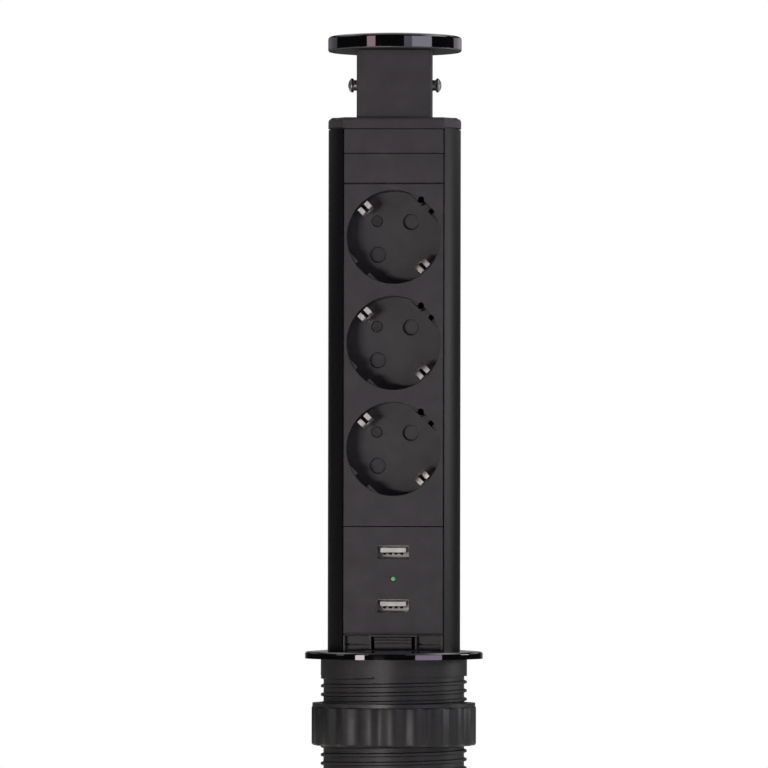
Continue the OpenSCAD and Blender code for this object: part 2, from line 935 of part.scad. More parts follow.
module carrier_screws() {
    color("#9a9c9e") for (i = [0, 1]) {
        for (s = [-1, 1]) {
            translate([s * carrier_screw_x, 0, post_z(i)]) {
                along_y(y_carrier - carrier_screw_len + slip, strip_y + weld) circle(carrier_screw_r);
                along_y(strip_y, strip_y + small_head_t) circle(small_head_r);
            }
        }
    }
}

// One straight bar with a split tube for each socket's pin
module contact_bar(side) {
    difference() {
        union() {
            translate([side * pin_x, 0, 0]) block(-bar_strip_w / 2, bar_strip_w / 2, strip_y,
                strip_y + bar_strip_t, z_term + term_h / 2,
                socket_z(0) + side * pin_x + tube_r + bar_end_over);
            for (i = socket_ids) {
                translate([side * pin_x, 0, socket_z(i) + side * pin_x])
                    along_y(tube_front, strip_y + weld) circle(tube_r);
            }
        }
        for (i = socket_ids) {
            translate([side * pin_x, 0, socket_z(i) + side * pin_x]) {
                along_y(tube_front - past, strip_y - tube_end_t) circle(tube_in_r);
                along_y(tube_front - past, tube_slot_end)
                    square([2 * tube_r + past, tube_slot], center = true);
            }
        }
    }
}

module live_bar() {
    color("#b98f45") contact_bar(1);
}

module neutral_bar() {
    color("#b98f45") contact_bar(-1);
}

// One earth clip: a strip that rises through the socket's floor and bows in towards the plug
module earth_clip() {
    y_tip = -face_y + clip_tip_drop;
    y_bow = y_tip + clip_tip_len;
    y_root = y_bow + clip_tip_len;
    clip_outline = [[clip_r, carrier_back + clip_t], [clip_r, y_root], [clip_r - clip_bow, y_bow],
        [clip_r, y_tip], [clip_r - clip_t, y_tip], [clip_r - clip_bow - clip_t, y_bow],
        [clip_r - clip_t, y_root], [clip_r - clip_t, carrier_back + clip_t]];
    difference() {
        translate([0, 0, -clip_w / 2]) linear_extrude(clip_w) polygon(clip_outline);
        block(clip_r - clip_bow - 2 * clip_t, clip_r + past, y_tip - past, y_bow + clip_tip_len / 2,
            -clip_slit / 2, clip_slit / 2);
    }
}

module earth_bar() {
    color("#c3c5c7") {
        block(-earth_w / 2, earth_w / 2, carrier_back, carrier_back + clip_t, z_term + term_h / 2,
            socket_z(0) + clip_r);
        for (i = socket_ids) {
            translate([0, 0, socket_z(i)]) {
                for (s = [-1, 1]) {
                    rotate([0, s > 0 ? 45 : 225, 0]) {
                        earth_clip();
                        block(0, clip_r, carrier_back, carrier_back + clip_t, -clip_w / 2, clip_w / 2);
                    }
                }
            }
        }
    }
}

module rear_insulator() {
    color("#d8d2bd") block(-carrier_half + insulator_in, carrier_half - insulator_in, carrier_back + clip_t,
        carrier_back + clip_t + insulator_t, z_sockets + carrier_end, z_filler - carrier_end);
}

// Three-way terminal under the carrier, where the supply comes in
module terminal_block() {
    color("#d9d8d2") difference() {
        block(-term_half, term_half, term_front, carrier_back + clip_t + term_back, z_term, z_term + term_h);
        for (s = [-1, 1]) {
            translate([s * pin_x, 0, 0]) block(-bar_strip_w / 2 - slip, bar_strip_w / 2 + slip,
                strip_y - slip, strip_y + bar_strip_t + slip,
                z_term + term_h / 2 - slip, z_term + term_h + past);
        }
        block(-earth_w / 2 - slip, earth_w / 2 + slip, carrier_back - slip, carrier_back + clip_t + slip,
            z_term + term_h / 2 - slip, z_term + term_h + past);
        for (x = [-pin_x, 0, pin_x]) {
            translate([x, term_front + term_wire_r + term_screw_t, 0])
                along_z(z_term - past, z_term + term_h / 2) circle(term_wire_r);
            translate([x, 0, z_term + term_h / 4]) along_y(term_front - past, term_front + term_screw_t)
                circle(small_head_r + slip / 2);
        }
    }
}

module terminal_screws() {
    color("#8e8f91") for (x = [-pin_x, 0, pin_x]) {
        translate([x, 0, z_term + term_h / 4]) difference() {
            along_y(term_front + slip, term_front + term_screw_t) circle(small_head_r);
            along_y(term_front - past, term_front + slip + term_slot)
                square([2 * small_head_r + past, drive_w], center = true);
        }
    }
}

module usb_panel() {
    color("#403e40") difference() {
        union() {
            panel_plate(z_panels, usb_panel_h);
            for (sx = [-1, 1]) {
                for (z = board_post_zs) {
                    translate([sx * board_post_x, 0, z]) along_y(tongue_y, board_y) circle(board_post_r);
                }
            }
        }
        front_seam(z_panels - past, z_panels + seam_up);
        for (i = [0, 1]) {
            translate([0, 0, port_z(i)]) {
                along_y(-face_y - past, panel_back + past)
                    square([port_w - 2 * port_lip_in, port_h - 2 * port_lip_in], center = true);
                along_y(-face_y + port_lip_t, panel_back + past)
                    square([port_w + 2 * port_frame_gap, port_h + 2 * port_frame_gap], center = true);
            }
        }
        translate([0, 0, led_z]) along_y(-face_y - past, panel_back + past) circle(led_d / 2 + groove_gap);
        for (sx = [-1, 1]) {
            for (z = board_post_zs) {
                translate([sx * board_post_x, 0, z]) along_y(board_y - board_screw_len, board_y + past)
                    circle(small_screw_r);
            }
        }
    }
}

module usb_shells() {
    color("#b4b5b6") for (i = [0, 1]) {
        translate([0, 0, port_z(i)]) along_y(-face_y + port_lip_t + port_inset, board_y) difference() {
            square([port_w, port_h], center = true);
            square([port_w - 2 * port_wall, port_h - 2 * port_wall], center = true);
        }
    }
}

module usb_tongues() {
    color("#d8d6cf") for (i = [0, 1]) {
        translate([0, 0, port_z(i)]) {
            along_y(board_y - tongue_base, board_y)
                square([port_w - 2 * port_wall, port_h - 2 * port_wall], center = true);
            along_y(-face_y + tongue_inset, board_y - tongue_base + weld) translate([0, tongue_up])
                square([tongue_w, tongue_h], center = true);
        }
    }
}

module usb_contacts() {
    color("#c9a24d") for (i = [0, 1]) {
        for (k = [-1.5, -0.5, 0.5, 1.5]) {
            translate([k * pin_pitch, 0, port_z(i) + tongue_up - tongue_h / 2 - pin_t / 2])
                along_y(-face_y + tongue_inset + pin_inset, board_y - tongue_base)
                    square([pin_w, pin_t], center = true);
        }
    }
}

module usb_board() {
    color("#1d4a33") difference() {
        block(-board_half, board_half, board_y, board_back, z_board, z_board + board_h);
        for (sx = [-1, 1]) {
            for (z = board_post_zs) {
                translate([sx * board_post_x, 0, z]) along_y(board_y - past, board_back + past)
                    circle(small_screw_r + slip / 2);
            }
        }
    }
}

module usb_board_screws() {
    color("#9a9c9e") for (sx = [-1, 1]) {
        for (z = board_post_zs) {
            translate([sx * board_post_x, 0, z]) {
                along_y(board_y - board_screw_len + slip, board_back + weld) circle(small_screw_r);
                along_y(board_back, board_back + small_head_t) circle(small_head_r);
            }
        }
    }
}

// Light pipe from the board to the panel's face
module status_led() {
    color("#4ee35a") translate([0, 0, led_z]) {
        along_y(-face_y, board_y) circle(led_d / 2);
        translate([0, -face_y, 0]) intersection() {
            sphere(led_d / 2);
            along_y(-led_d / 4, led_d / 4) circle(led_d / 2);
        }
    }
}

module charger_transformer() {
    core_x = -board_half + core_side;
    z_core = z_board + core_up;
    color("#c8a63b") {
        block(core_x, core_x + core_w, board_back, board_back + core_d, z_core, z_core + core_h);
        block(core_x + winding_in, core_x + core_w - winding_in, board_back, board_back + winding_d,
            z_core - winding_over, z_core + core_h + winding_over);
    }
}

module charger_capacitors() {
    color("#22262e") for (i = [0, 1]) {
        translate([can_x + i * can_pitch, 0, z_cans]) along_y(board_back, board_back + can_h) circle(can_r);
    }
}

module top_plate() {
    color("#3c3a3c") difference() {
        along_z(z_plate, z_neck) front_flat_2d(plate_r, face_y + plate_over);
        along_z(z_plate - past, z_plate + shadow_gap) difference() {
            ring_2d(plate_r + past, tower_r - shadow_depth);
            translate([-front_half, -tower_r - past]) square([2 * front_half, tower_r]);
        }
        for (a = port_angles) {
            rotate(a) translate([port_c, 0, 0]) {
                along_z(z_plate - past, z_neck + past) circle(port_hole_r + slip);
                along_z(z_neck - small_head_t, z_neck + past) circle(small_head_r + slip);
            }
        }
        for (sx = [-1, 1]) {
            for (sy = [-1, 1]) {
                translate([sx * boss_x, sy * boss_y, 0]) {
                    along_z(z_plate - past, z_neck + past) circle(long_hole_r);
                    along_z(z_plate - past, z_plate + long_head_t) circle(long_head_r + slip);
                }
            }
        }
        block(-bar_half - bar_way, bar_half + bar_way, cross_y1 - bar_t - bar_way, cross_y1 + bar_way,
            z_plate - past, z_neck + past);
    }
}

module top_plate_screws() {
    color("#1b1b1d") for (a = port_angles) {
        rotate(a) translate([port_c, 0, 0]) {
            along_z(z_plate - port_screw_len, z_neck - small_head_t + weld)
                circle(port_hole_r - port_screw_ease);
            along_z(z_neck - small_head_t, z_neck) difference() {
                circle(small_head_r);
                circle(drive_w, $fn = 6);
            }
        }
    }
}

module neck() {
    color("#403e40") difference() {
        union() {
            along_z(z_neck, z_lid) difference() {
                rounded_2d(neck_w, neck_depth, neck_edge);
                square([2 * neck_in_half, 2 * neck_in_y], center = true);
            }
            for (sx = [-1, 1]) {
                for (sy = [-1, 1]) {
                    translate([sx * boss_x, sy * boss_y, 0]) along_z(z_neck, z_lid) circle(boss_r);
                }
            }
        }
        for (sx = [-1, 1]) {
            for (sy = [-1, 1]) {
                translate([sx * boss_x, sy * boss_y, 0]) along_z(z_neck - past, z_lid + past)
                    circle(long_hole_r);
            }
        }
        translate([0, 0, z_axis]) along_x(-neck_half - past, neck_half + past) circle(bush_r + bush_seat_gap);
    }
}

module lid() {
    color("#0b0b0d") difference() {
        translate([0, 0, z_lid]) rotate_extrude() {
            square([edge_x, edge_z]);
            translate([0, lid_edge]) square([lid_r, edge_z - lid_edge]);
            translate([edge_x, lid_edge]) circle(lid_edge);
            translate([edge_x, edge_z]) circle(lid_edge);
            intersection() {
                translate([0, dome_z]) circle(lid_dome_r, $fn = dome_steps);
                translate([0, lid_edge]) square([dome_x, lid_t + lid_crown]);
            }
        }
        for (sx = [-1, 1]) {
            for (sy = [-1, 1]) {
                translate([sx * boss_x, sy * boss_y, 0]) along_z(z_lid - past, z_lid + lid_t - lid_roof)
                    circle(long_screw_r);
            }
        }
    }
}

module lid_screws() {
    color("#8e8f91") for (sx = [-1, 1]) {
        for (sy = [-1, 1]) {
            translate([sx * boss_x, sy * boss_y, 0]) {
                along_z(z_plate + weld, z_lid + lid_t - lid_roof - slip)
                    circle(long_screw_r - long_screw_ease);
                along_z(z_plate, z_plate + long_head_t) difference() {
                    circle(long_head_r);
                    circle(drive_w, $fn = 6);
                }
            }
        }
    }
}

module button_bushes() {
    color("#7d7f82") translate([0, 0, z_axis]) for (s = [0, 1]) {
        mirror([s, 0, 0]) difference() {
            union() {
                along_x(neck_in_half - weld, neck_half) circle(bush_r);
                along_x(neck_in_half - bush_flange_t, neck_in_half) circle(bush_flange_r);
            }
            along_x(neck_in_half - bush_flange_t - past, neck_half + past) circle(shank_r + bush_gap);
        }
    }
}

// Mushroom button with a wedge nose that rides on the crosshead
module button() {
    rim_x = neck_half + button_stand;
    dome_h = button_head_t - head_taper;
    dome_r = (button_r * button_r + dome_h * dome_h) / (2 * dome_h);
    rotate([0, 90, 0]) rotate_extrude() {
        polygon([[0, rim_x], [shank_r, rim_x], [button_r, rim_x + head_taper], [0, rim_x + head_taper]]);
        intersection() {
            translate([0, rim_x + button_head_t - dome_r]) circle(dome_r);
            translate([0, rim_x + head_taper]) square([button_r, button_head_t]);
        }
        translate([0, collar_x - collar_t]) square([shank_r, rim_x - collar_x + collar_t + head_taper]);
        translate([0, collar_x - collar_t]) square([collar_r, collar_t]);
    }
    along_y(-nose_half, nose_half) polygon([[nose_x, 0], [nose_x, nose_half],
        [nose_x + nose_len + weld, nose_half], [nose_x + nose_len + weld, -nose_half],
        [nose_x + nose_half, -nose_half]]);
}

module right_button() {
    color("#5b5c5f") translate([0, 0, z_axis]) button();
}

module left_button() {
    color("#5b5c5f") translate([0, 0, z_axis]) mirror([1, 0, 0]) button();
}

module release_spring() {
    color("#b9bbbd") translate([0, 0, z_neck])
        coil(release_coil_r, release_wire_r, button_rise + cross_low, release_turns, coil_steps);
}

// Crosshead under the buttons, a strip down the back of the column and a finger in the catch
module release_bar() {
    cross_shoulder = nose_x - ramp_gap - cross_half;
    color("#a5a7a9") {
        translate([0, 0, z_axis]) along_y(cross_y0, cross_y1) polygon([[-cross_half, cross_low],
            [cross_half, cross_low], [cross_half, cross_shoulder], [nose_x - ramp_gap - cross_top, cross_top],
            [-nose_x + ramp_gap + cross_top, cross_top], [-cross_half, cross_shoulder]]);
        block(-bar_half, bar_half, cross_y1 - bar_t, cross_y1, z_jog, z_axis + cross_low + weld);
        block(-bar_half, bar_half, cross_y1 - bar_t, bar_back, z_jog, z_jog + jog_t);
        block(-bar_half, bar_half, bar_back - bar_t, bar_back, z_bar_foot, z_jog + jog_t);
        block(-foot_half, foot_half, finger_front, bar_back, z_bar_foot, z_bar_foot + jog_t);
        along_x(-foot_half, foot_half) polygon([[finger_front, z_bar_foot + weld],
            [finger_front, finger_tip_z], [finger_front + finger_tip_t, finger_tip_z],
            [finger_front + finger_t, finger_tip_z + finger_t - finger_tip_t],
            [finger_front + finger_t, z_bar_foot + weld]]);
    }
}

// Sprung catch over the bezel's lip, with grip ridges on its face
module catch() {
    wedge = finger_front + finger_tip_t - finger_tip_z + ramp_gap * sqrt(2);
    color("#3a393a") {
        difference() {
            block(-catch_half, catch_half, catch_front, catch_back, z_catch, z_catch_top);
            along_x(-window_half, window_half) polygon([[window_front, window_front - wedge],
                [window_front, z_catch_top + past], [z_catch_top + past + wedge, z_catch_top + past]]);
            along_x(-catch_half - past, catch_half + past)
                polygon([[catch_front - past, z_catch + catch_lead_h], [catch_front, z_catch + catch_lead_h],
                    [catch_front + catch_lead_d, z_catch], [catch_front + catch_lead_d, z_catch - past],
                    [catch_front - past, z_catch - past]]);
        }
        for (up = ridge_places) {
            translate([0, catch_front, z_catch + up * (z_catch_top - z_catch)])
                along_x(-catch_half, catch_half) circle(ridge_r);
        }
    }
}

module catch_springs() {
    color("#b9bbbd") for (s = [-1, 1]) {
        translate([s * catch_spring_x, catch_back, (z_catch + z_catch_top) / 2]) rotate([-90, 0, 0])
            coil(catch_coil_r, catch_wire_r, spring_room, catch_turns, coil_steps);
    }
}

// Block that plugs the column's foot: guide flange, upper stop, catch pocket and cord inlet
module foot_block() {
    color("#343334") difference() {
        union() {
            along_z(z_seat, z_block_top) difference() {
                union() {
                    intersection() {
                        circle(inner_r - block_gap);
                        translate([-tower_r, panel_back + jamb_lip + groove_gap + block_gap])
                            square([tower_d, tower_d]);
                    }
                    translate([-panel_half, -block_front]) square([2 * panel_half, block_front]);
                }
                for (a = port_angles) {
                    rotate(a) translate([port_c, 0]) circle(port_r + block_gap);
                }
            }
            along_z(z_foot_end, z_seat) front_flat_2d(tower_r - slip, block_front);
            block(-stop_half, stop_half, stop_front, -block_front + past, stop_low, z_lip - stop_gap);
        }
        block(-catch_half - catch_side, catch_half + catch_side, -face_y - past, catch_back + spring_room,
            z_catch - catch_play, z_catch_top + catch_play);
        for (s = [0, 1]) {
            mirror([s, 0, 0]) {
                block(bay_in, panel_half - bay_wall, -face_y - past, -block_front + bay_depth,
                    z_bay, z_block_top - bay_top);
                block(bay_in, panel_half - bay_wall, -face_y - past,
                    -block_front + bay_depth + bay_groove_d, z_bay + bay_groove_up,
                    z_bay + bay_groove_up + bay_groove_h);
            }
        }
        block(-foot_half - bar_way, foot_half + bar_way, finger_front - bar_way, tower_r,
            z_bar_foot - release_travel - bar_way, z_block_top + past);
        front_seam(z_block_top - seam_down, z_block_top + past);
        block(-bar_half - bar_way, bar_half + bar_way, bar_back - bar_t - bar_way, tower_r,
            z_bar_foot - release_travel - bar_way, z_block_top + past);
        translate([cord_x, cord_y, 0]) {
            along_z(z_foot_end - past, z_block_top + past) circle(bush_out_r);
        }
        for (a = port_angles) {
            rotate(a) translate([port_c, 0, 0]) {
                along_z(z_foot_end - past, z_seat + past) circle(port_hole_r + slip);
                along_z(z_foot_end - past, z_foot_end + small_head_t) circle(small_head_r + slip);
            }
        }
        for (a = pad_angles) {
            rotate(a) block(tower_r - pad_depth, tower_r + past, -pad_w / 2 - groove_gap,
                pad_w / 2 + groove_gap, z_pad - groove_gap, z_pad + pad_h + groove_gap);
        }
    }
}

module foot_screws() {
    color("#8e8f91") for (a = port_angles) {
        rotate(a) translate([port_c, 0, 0]) {
            along_z(z_foot_end + small_head_t - weld, z_seat + port_screw_len)
                circle(port_hole_r - port_screw_ease);
            along_z(z_foot_end, z_foot_end + small_head_t) difference() {
                circle(small_head_r);
                circle(drive_w, $fn = 6);
            }
        }
    }
}

module guide_pads() {
    color("#e6e4dc") for (a = pad_angles) {
        rotate(a) intersection() {
            block(tower_r - pad_depth, tower_r + past, -pad_w / 2, pad_w / 2, z_pad, z_pad + pad_h);
            along_z(z_foot_end, z_seat) circle(bore_r - run_gap);
        }
    }
}

module cord_bush() {
    color("#171717") translate([cord_x, cord_y, z_foot_end]) rotate_extrude() {
        translate([cord_r, -bush_lip_t]) square([bush_lip_r - cord_r, bush_lip_t]);
        translate([cord_r, -bush_lip_t])
            square([bush_out_r - groove_gap - cord_r, bush_lip_t + foot_flange_t]);
    }
}

bezel_ring();
threaded_sleeve();
desk_gasket();
wiper_seal();
tube_end_cap();
cord_grommet();
clamp_washer();
ring_nut();
body_profile();
top_plate();
top_plate_screws();
neck();
lid();
lid_screws();
button_bushes();
release_spring();
head_strip();
filler_panel();
socket_panel();
socket_base_1();
socket_base_2();
socket_base_3();
socket_base_screws();
shutter_springs();
contact_carrier();
carrier_screws();
live_bar();
neutral_bar();
earth_bar();
rear_insulator();
terminal_block();
terminal_screws();
usb_panel();
usb_shells();
usb_tongues();
usb_contacts();
usb_board();
usb_board_screws();
status_led();
charger_transformer();
charger_capacitors();
foot_block();
foot_screws();
guide_pads();
cord_bush();
catch_springs();
left_button();
right_button();
release_bar();
catch();
shutter_1();
shutter_2();
shutter_3();
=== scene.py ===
# Pull-up desk socket, raised: a round black column with three earthed sockets and two charging ports
import json
import math

import bmesh
import bpy
from mathutils import Matrix, Quaternion, Vector


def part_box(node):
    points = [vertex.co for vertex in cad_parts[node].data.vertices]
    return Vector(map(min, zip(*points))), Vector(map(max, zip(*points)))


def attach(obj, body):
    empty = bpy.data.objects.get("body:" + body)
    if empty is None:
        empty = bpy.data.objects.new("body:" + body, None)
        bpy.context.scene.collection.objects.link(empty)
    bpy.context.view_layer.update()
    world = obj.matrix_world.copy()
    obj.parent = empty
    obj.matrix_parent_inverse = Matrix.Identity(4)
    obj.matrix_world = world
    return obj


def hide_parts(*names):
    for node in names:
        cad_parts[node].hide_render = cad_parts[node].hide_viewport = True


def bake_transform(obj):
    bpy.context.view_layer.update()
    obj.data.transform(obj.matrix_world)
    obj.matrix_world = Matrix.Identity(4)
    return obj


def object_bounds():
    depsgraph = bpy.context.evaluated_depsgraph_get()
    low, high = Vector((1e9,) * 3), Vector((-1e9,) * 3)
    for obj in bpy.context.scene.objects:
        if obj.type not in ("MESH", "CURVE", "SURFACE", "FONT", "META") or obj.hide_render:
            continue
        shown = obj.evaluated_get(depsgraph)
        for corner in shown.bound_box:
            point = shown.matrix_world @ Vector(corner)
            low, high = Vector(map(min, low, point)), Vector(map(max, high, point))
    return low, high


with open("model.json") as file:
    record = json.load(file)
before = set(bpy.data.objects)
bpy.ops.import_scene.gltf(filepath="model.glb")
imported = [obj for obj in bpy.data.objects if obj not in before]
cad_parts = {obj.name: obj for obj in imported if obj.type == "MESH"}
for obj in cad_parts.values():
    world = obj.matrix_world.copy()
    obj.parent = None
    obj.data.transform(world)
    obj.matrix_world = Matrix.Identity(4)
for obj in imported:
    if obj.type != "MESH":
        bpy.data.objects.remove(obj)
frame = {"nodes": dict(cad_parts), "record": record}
cadLow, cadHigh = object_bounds()
nodes = frame["nodes"]
mm = 0.001
merge = 0.002 * mm  # points of a node's copy that are closer than this are one point
seam = 0.001 * mm  # the same for a turned skin, where its ends meet
near = 0.01 * mm  # places closer than this count as level
slotOf = {part["node"]: part["material_slot"] for part in frame["record"]["subparts"]}
bodyOf = {node: body for body, members in frame["record"]["behaviour"]["bodies"].items() for node in members}
print("frame loaded:", len(nodes), "nodes")


# sRGB hex to the linear colour that the shaders work in
def linearColor(hexCode):
    channels = []
    for i in (1, 3, 5):
        value = int(hexCode[i:i + 2], 16) / 255
        channels.append(value / 12.92 if value <= 0.04045 else ((value + 0.055) / 1.055) ** 2.4)
    return (*channels, 1.0)


# one node with its settings, its fixed inputs and its links from other nodes
def addNode(tree, kind, settings=None, inputs=None, links=None):
    node = tree.nodes.new(kind)
    for key, value in (settings or {}).items():
        setattr(node, key, value)
    for key, value in (inputs or {}).items():
        node.inputs[key].default_value = value
    for key, (source, output) in (links or {}).items():
        tree.links.new(source.outputs[output], node.inputs[key])
    return node


# a new material, with the shader and the coordinates that every finish uses
def newMaterial(name):
    material = bpy.data.materials.new(name)
    material.use_nodes = True
    tree = material.node_tree
    shader = tree.nodes["Principled BSDF"]
    place = addNode(tree, "ShaderNodeTexCoord")
    return material, tree, shader, place


# texture scale that makes one grain of a noise about this many millimetres wide
def grain(millimetres):
    return 1000 / millimetres


# two colours over the middle span of a noise, which holds most of its values
def rampColors(tree, noise, darkHex, lightHex, span=(0.3, 0.7)):
    ramp = addNode(tree, "ShaderNodeValToRGB", links={"Fac": (noise, "Fac")})
    for stop, position, hexCode in zip(ramp.color_ramp.elements, span, (darkHex, lightHex)):
        stop.position = position
        stop.color = linearColor(hexCode)
    return ramp


sparkAbs = {"dark": "#363436", "light": "#403e40", "cloud": 9.0, "spark": 0.55, "rough": (0.5, 0.62),
            "bump": 0.25, "depth": 0.05, "ior": 1.53, "sheen": 0.35}


# ABS moulded in a spark-eroded tool: an even dull black whose fine pits scatter the light
def makeSparkAbs(name, look):
    material, tree, shader, place = newMaterial(name)
    cloud = addNode(tree, "ShaderNodeTexNoise", inputs={"Scale": grain(look["cloud"]), "Detail": 4.0},
                    links={"Vector": (place, "Object")})
    tone = rampColors(tree, cloud, look["dark"], look["light"])
    # real pits are 0.1 mm, drawn coarser so that they show
    pits = addNode(tree, "ShaderNodeTexNoise", inputs={"Scale": grain(look["spark"]), "Detail": 2.0},
                   links={"Vector": (place, "Object")})
    rough = addNode(tree, "ShaderNodeMapRange",
                    inputs={"To Min": look["rough"][0], "To Max": look["rough"][1]},
                    links={"Value": (pits, "Fac")})
    bump = addNode(tree, "ShaderNodeBump", inputs={"Strength": look["bump"], "Distance": look["depth"] * mm},
                   links={"Height": (pits, "Fac")})
    tree.links.new(tone.outputs["Color"], shader.inputs["Base Color"])
    tree.links.new(rough.outputs["Result"], shader.inputs["Roughness"])
    tree.links.new(bump.outputs["Normal"], shader.inputs["Normal"])
    shader.inputs["IOR"].default_value = look["ior"]
    shader.inputs["Specular IOR Level"].default_value = look["sheen"]
    return material


polishedAbs = {"dark": "#050506", "light": "#09080a", "haze": 0.7, "span": (0.35, 0.65),
               "rough": (0.03, 0.06), "ior": 1.53, "gloss": 0.9}


# ABS from a mirror-polished tool: deep black that carries sharp reflections, with a breath of haze
def makePolishedAbs(name, look):
    material, tree, shader, place = newMaterial(name)
    haze = addNode(tree, "ShaderNodeTexNoise", inputs={"Scale": grain(look["haze"]), "Detail": 5.0},
                   links={"Vector": (place, "Object")})
    tone = rampColors(tree, haze, look["dark"], look["light"], look["span"])
    rough = addNode(tree, "ShaderNodeMapRange",
                    inputs={"To Min": look["rough"][0], "To Max": look["rough"][1]},
                    links={"Value": (haze, "Fac")})
    tree.links.new(tone.outputs["Color"], shader.inputs["Base Color"])
    tree.links.new(rough.outputs["Result"], shader.inputs["Roughness"])
    shader.inputs["IOR"].default_value = look["ior"]
    shader.inputs["Specular IOR Level"].default_value = look["gloss"]
    return material


anodised = {"dark": "#060607", "light": "#0d0c0e", "dieLine": 0.5, "stretch": 0.01, "rough": (0.34, 0.44),
            "bump": 0.05, "depth": 0.02, "ior": 1.5, "sheen": 0.2}


# extruded aluminium, anodised black: satin, with faint die lines that run along the column
def makeAnodised(name, look):
    material, tree, shader, place = newMaterial(name)
    stretch = addNode(tree, "ShaderNodeMapping", inputs={"Scale": (1.0, 1.0, look["stretch"])},
                      links={"Vector": (place, "Object")})
    lines = addNode(tree, "ShaderNodeTexNoise", inputs={"Scale": grain(look["dieLine"]), "Detail": 3.0},
                    links={"Vector": (stretch, "Vector")})
    tone = rampColors(tree, lines, look["dark"], look["light"])
    rough = addNode(tree, "ShaderNodeMapRange",
                    inputs={"To Min": look["rough"][0], "To Max": look["rough"][1]},
                    links={"Value": (lines, "Fac")})
    bump = addNode(tree, "ShaderNodeBump", inputs={"Strength": look["bump"], "Distance": look["depth"] * mm},
                   links={"Height": (lines, "Fac")})
    tree.links.new(tone.outputs["Color"], shader.inputs["Base Color"])
    tree.links.new(rough.outputs["Result"], shader.inputs["Roughness"])
    tree.links.new(bump.outputs["Normal"], shader.inputs["Normal"])
    shader.inputs["IOR"].default_value = look["ior"]
    shader.inputs["Specular IOR Level"].default_value = look["sheen"]
    return material


metalWork = {"streak": 0.4, "stretch": (1.0, 1.0, 0.08)}


# plated or bare metal: bright, with rolling or drawing streaks in its gloss
def makeMetal(name, darkHex, lightHex, rough):
    material, tree, shader, place = newMaterial(name)
    drawn = addNode(tree, "ShaderNodeMapping", inputs={"Scale": metalWork["stretch"]},
                    links={"Vector": (place, "Object")})
    streak = addNode(tree, "ShaderNodeTexNoise", inputs={"Scale": grain(metalWork["streak"]), "Detail": 3.0},
                     links={"Vector": (drawn, "Vector")})
    tone = rampColors(tree, streak, darkHex, lightHex)
    gloss = addNode(tree, "ShaderNodeMapRange", inputs={"To Min": rough[0], "To Max": rough[1]},
                    links={"Value": (streak, "Fac")})
    tree.links.new(tone.outputs["Color"], shader.inputs["Base Color"])
    tree.links.new(gloss.outputs["Result"], shader.inputs["Roughness"])
    shader.inputs["Metallic"].default_value = 1.0
    return material


skinDepth = 0.05  # mm


# moulded, pressed or coated stuff: soft clouds in its colour, and a fine skin that breaks up its gloss
def makeMoulded(name, darkHex, lightHex, rough, cloud=6.0, skin=0.6, ior=1.5, bumpStrength=0.15):
    material, tree, shader, place = newMaterial(name)
    flow = addNode(tree, "ShaderNodeTexNoise", inputs={"Scale": grain(cloud), "Detail": 4.0},
                   links={"Vector": (place, "Object")})
    tone = rampColors(tree, flow, darkHex, lightHex)
    pores = addNode(tree, "ShaderNodeTexNoise", inputs={"Scale": grain(skin), "Detail": 2.0},
                    links={"Vector": (place, "Object")})
    gloss = addNode(tree, "ShaderNodeMapRange", inputs={"To Min": rough[0], "To Max": rough[1]},
                    links={"Value": (pores, "Fac")})
    bump = addNode(tree, "ShaderNodeBump", inputs={"Strength": bumpStrength, "Distance": skinDepth * mm},
                   links={"Height": (pores, "Fac")})
    tree.links.new(tone.outputs["Color"], shader.inputs["Base Color"])
    tree.links.new(gloss.outputs["Result"], shader.inputs["Roughness"])
    tree.links.new(bump.outputs["Normal"], shader.inputs["Normal"])
    shader.inputs["IOR"].default_value = ior
    return material


lensLook = {"dark": "#5fae6c", "light": "#86c78c", "rough": (0.18, 0.3), "cloud": 1.2, "skin": 0.4,
            "bump": 0.05, "glow": "#5fd873", "strength": 0.12}


# clear green epoxy over a lit die: it glows a little by itself
def makeGreenLens(name, look):
    material = makeMoulded(name, look["dark"], look["light"], look["rough"], cloud=look["cloud"],
                           skin=look["skin"], bumpStrength=look["bump"])
    shader = material.node_tree.nodes["Principled BSDF"]
    shader.inputs["Emission Color"].default_value = linearColor(look["glow"])
    shader.inputs["Emission Strength"].default_value = look["strength"]
    return material


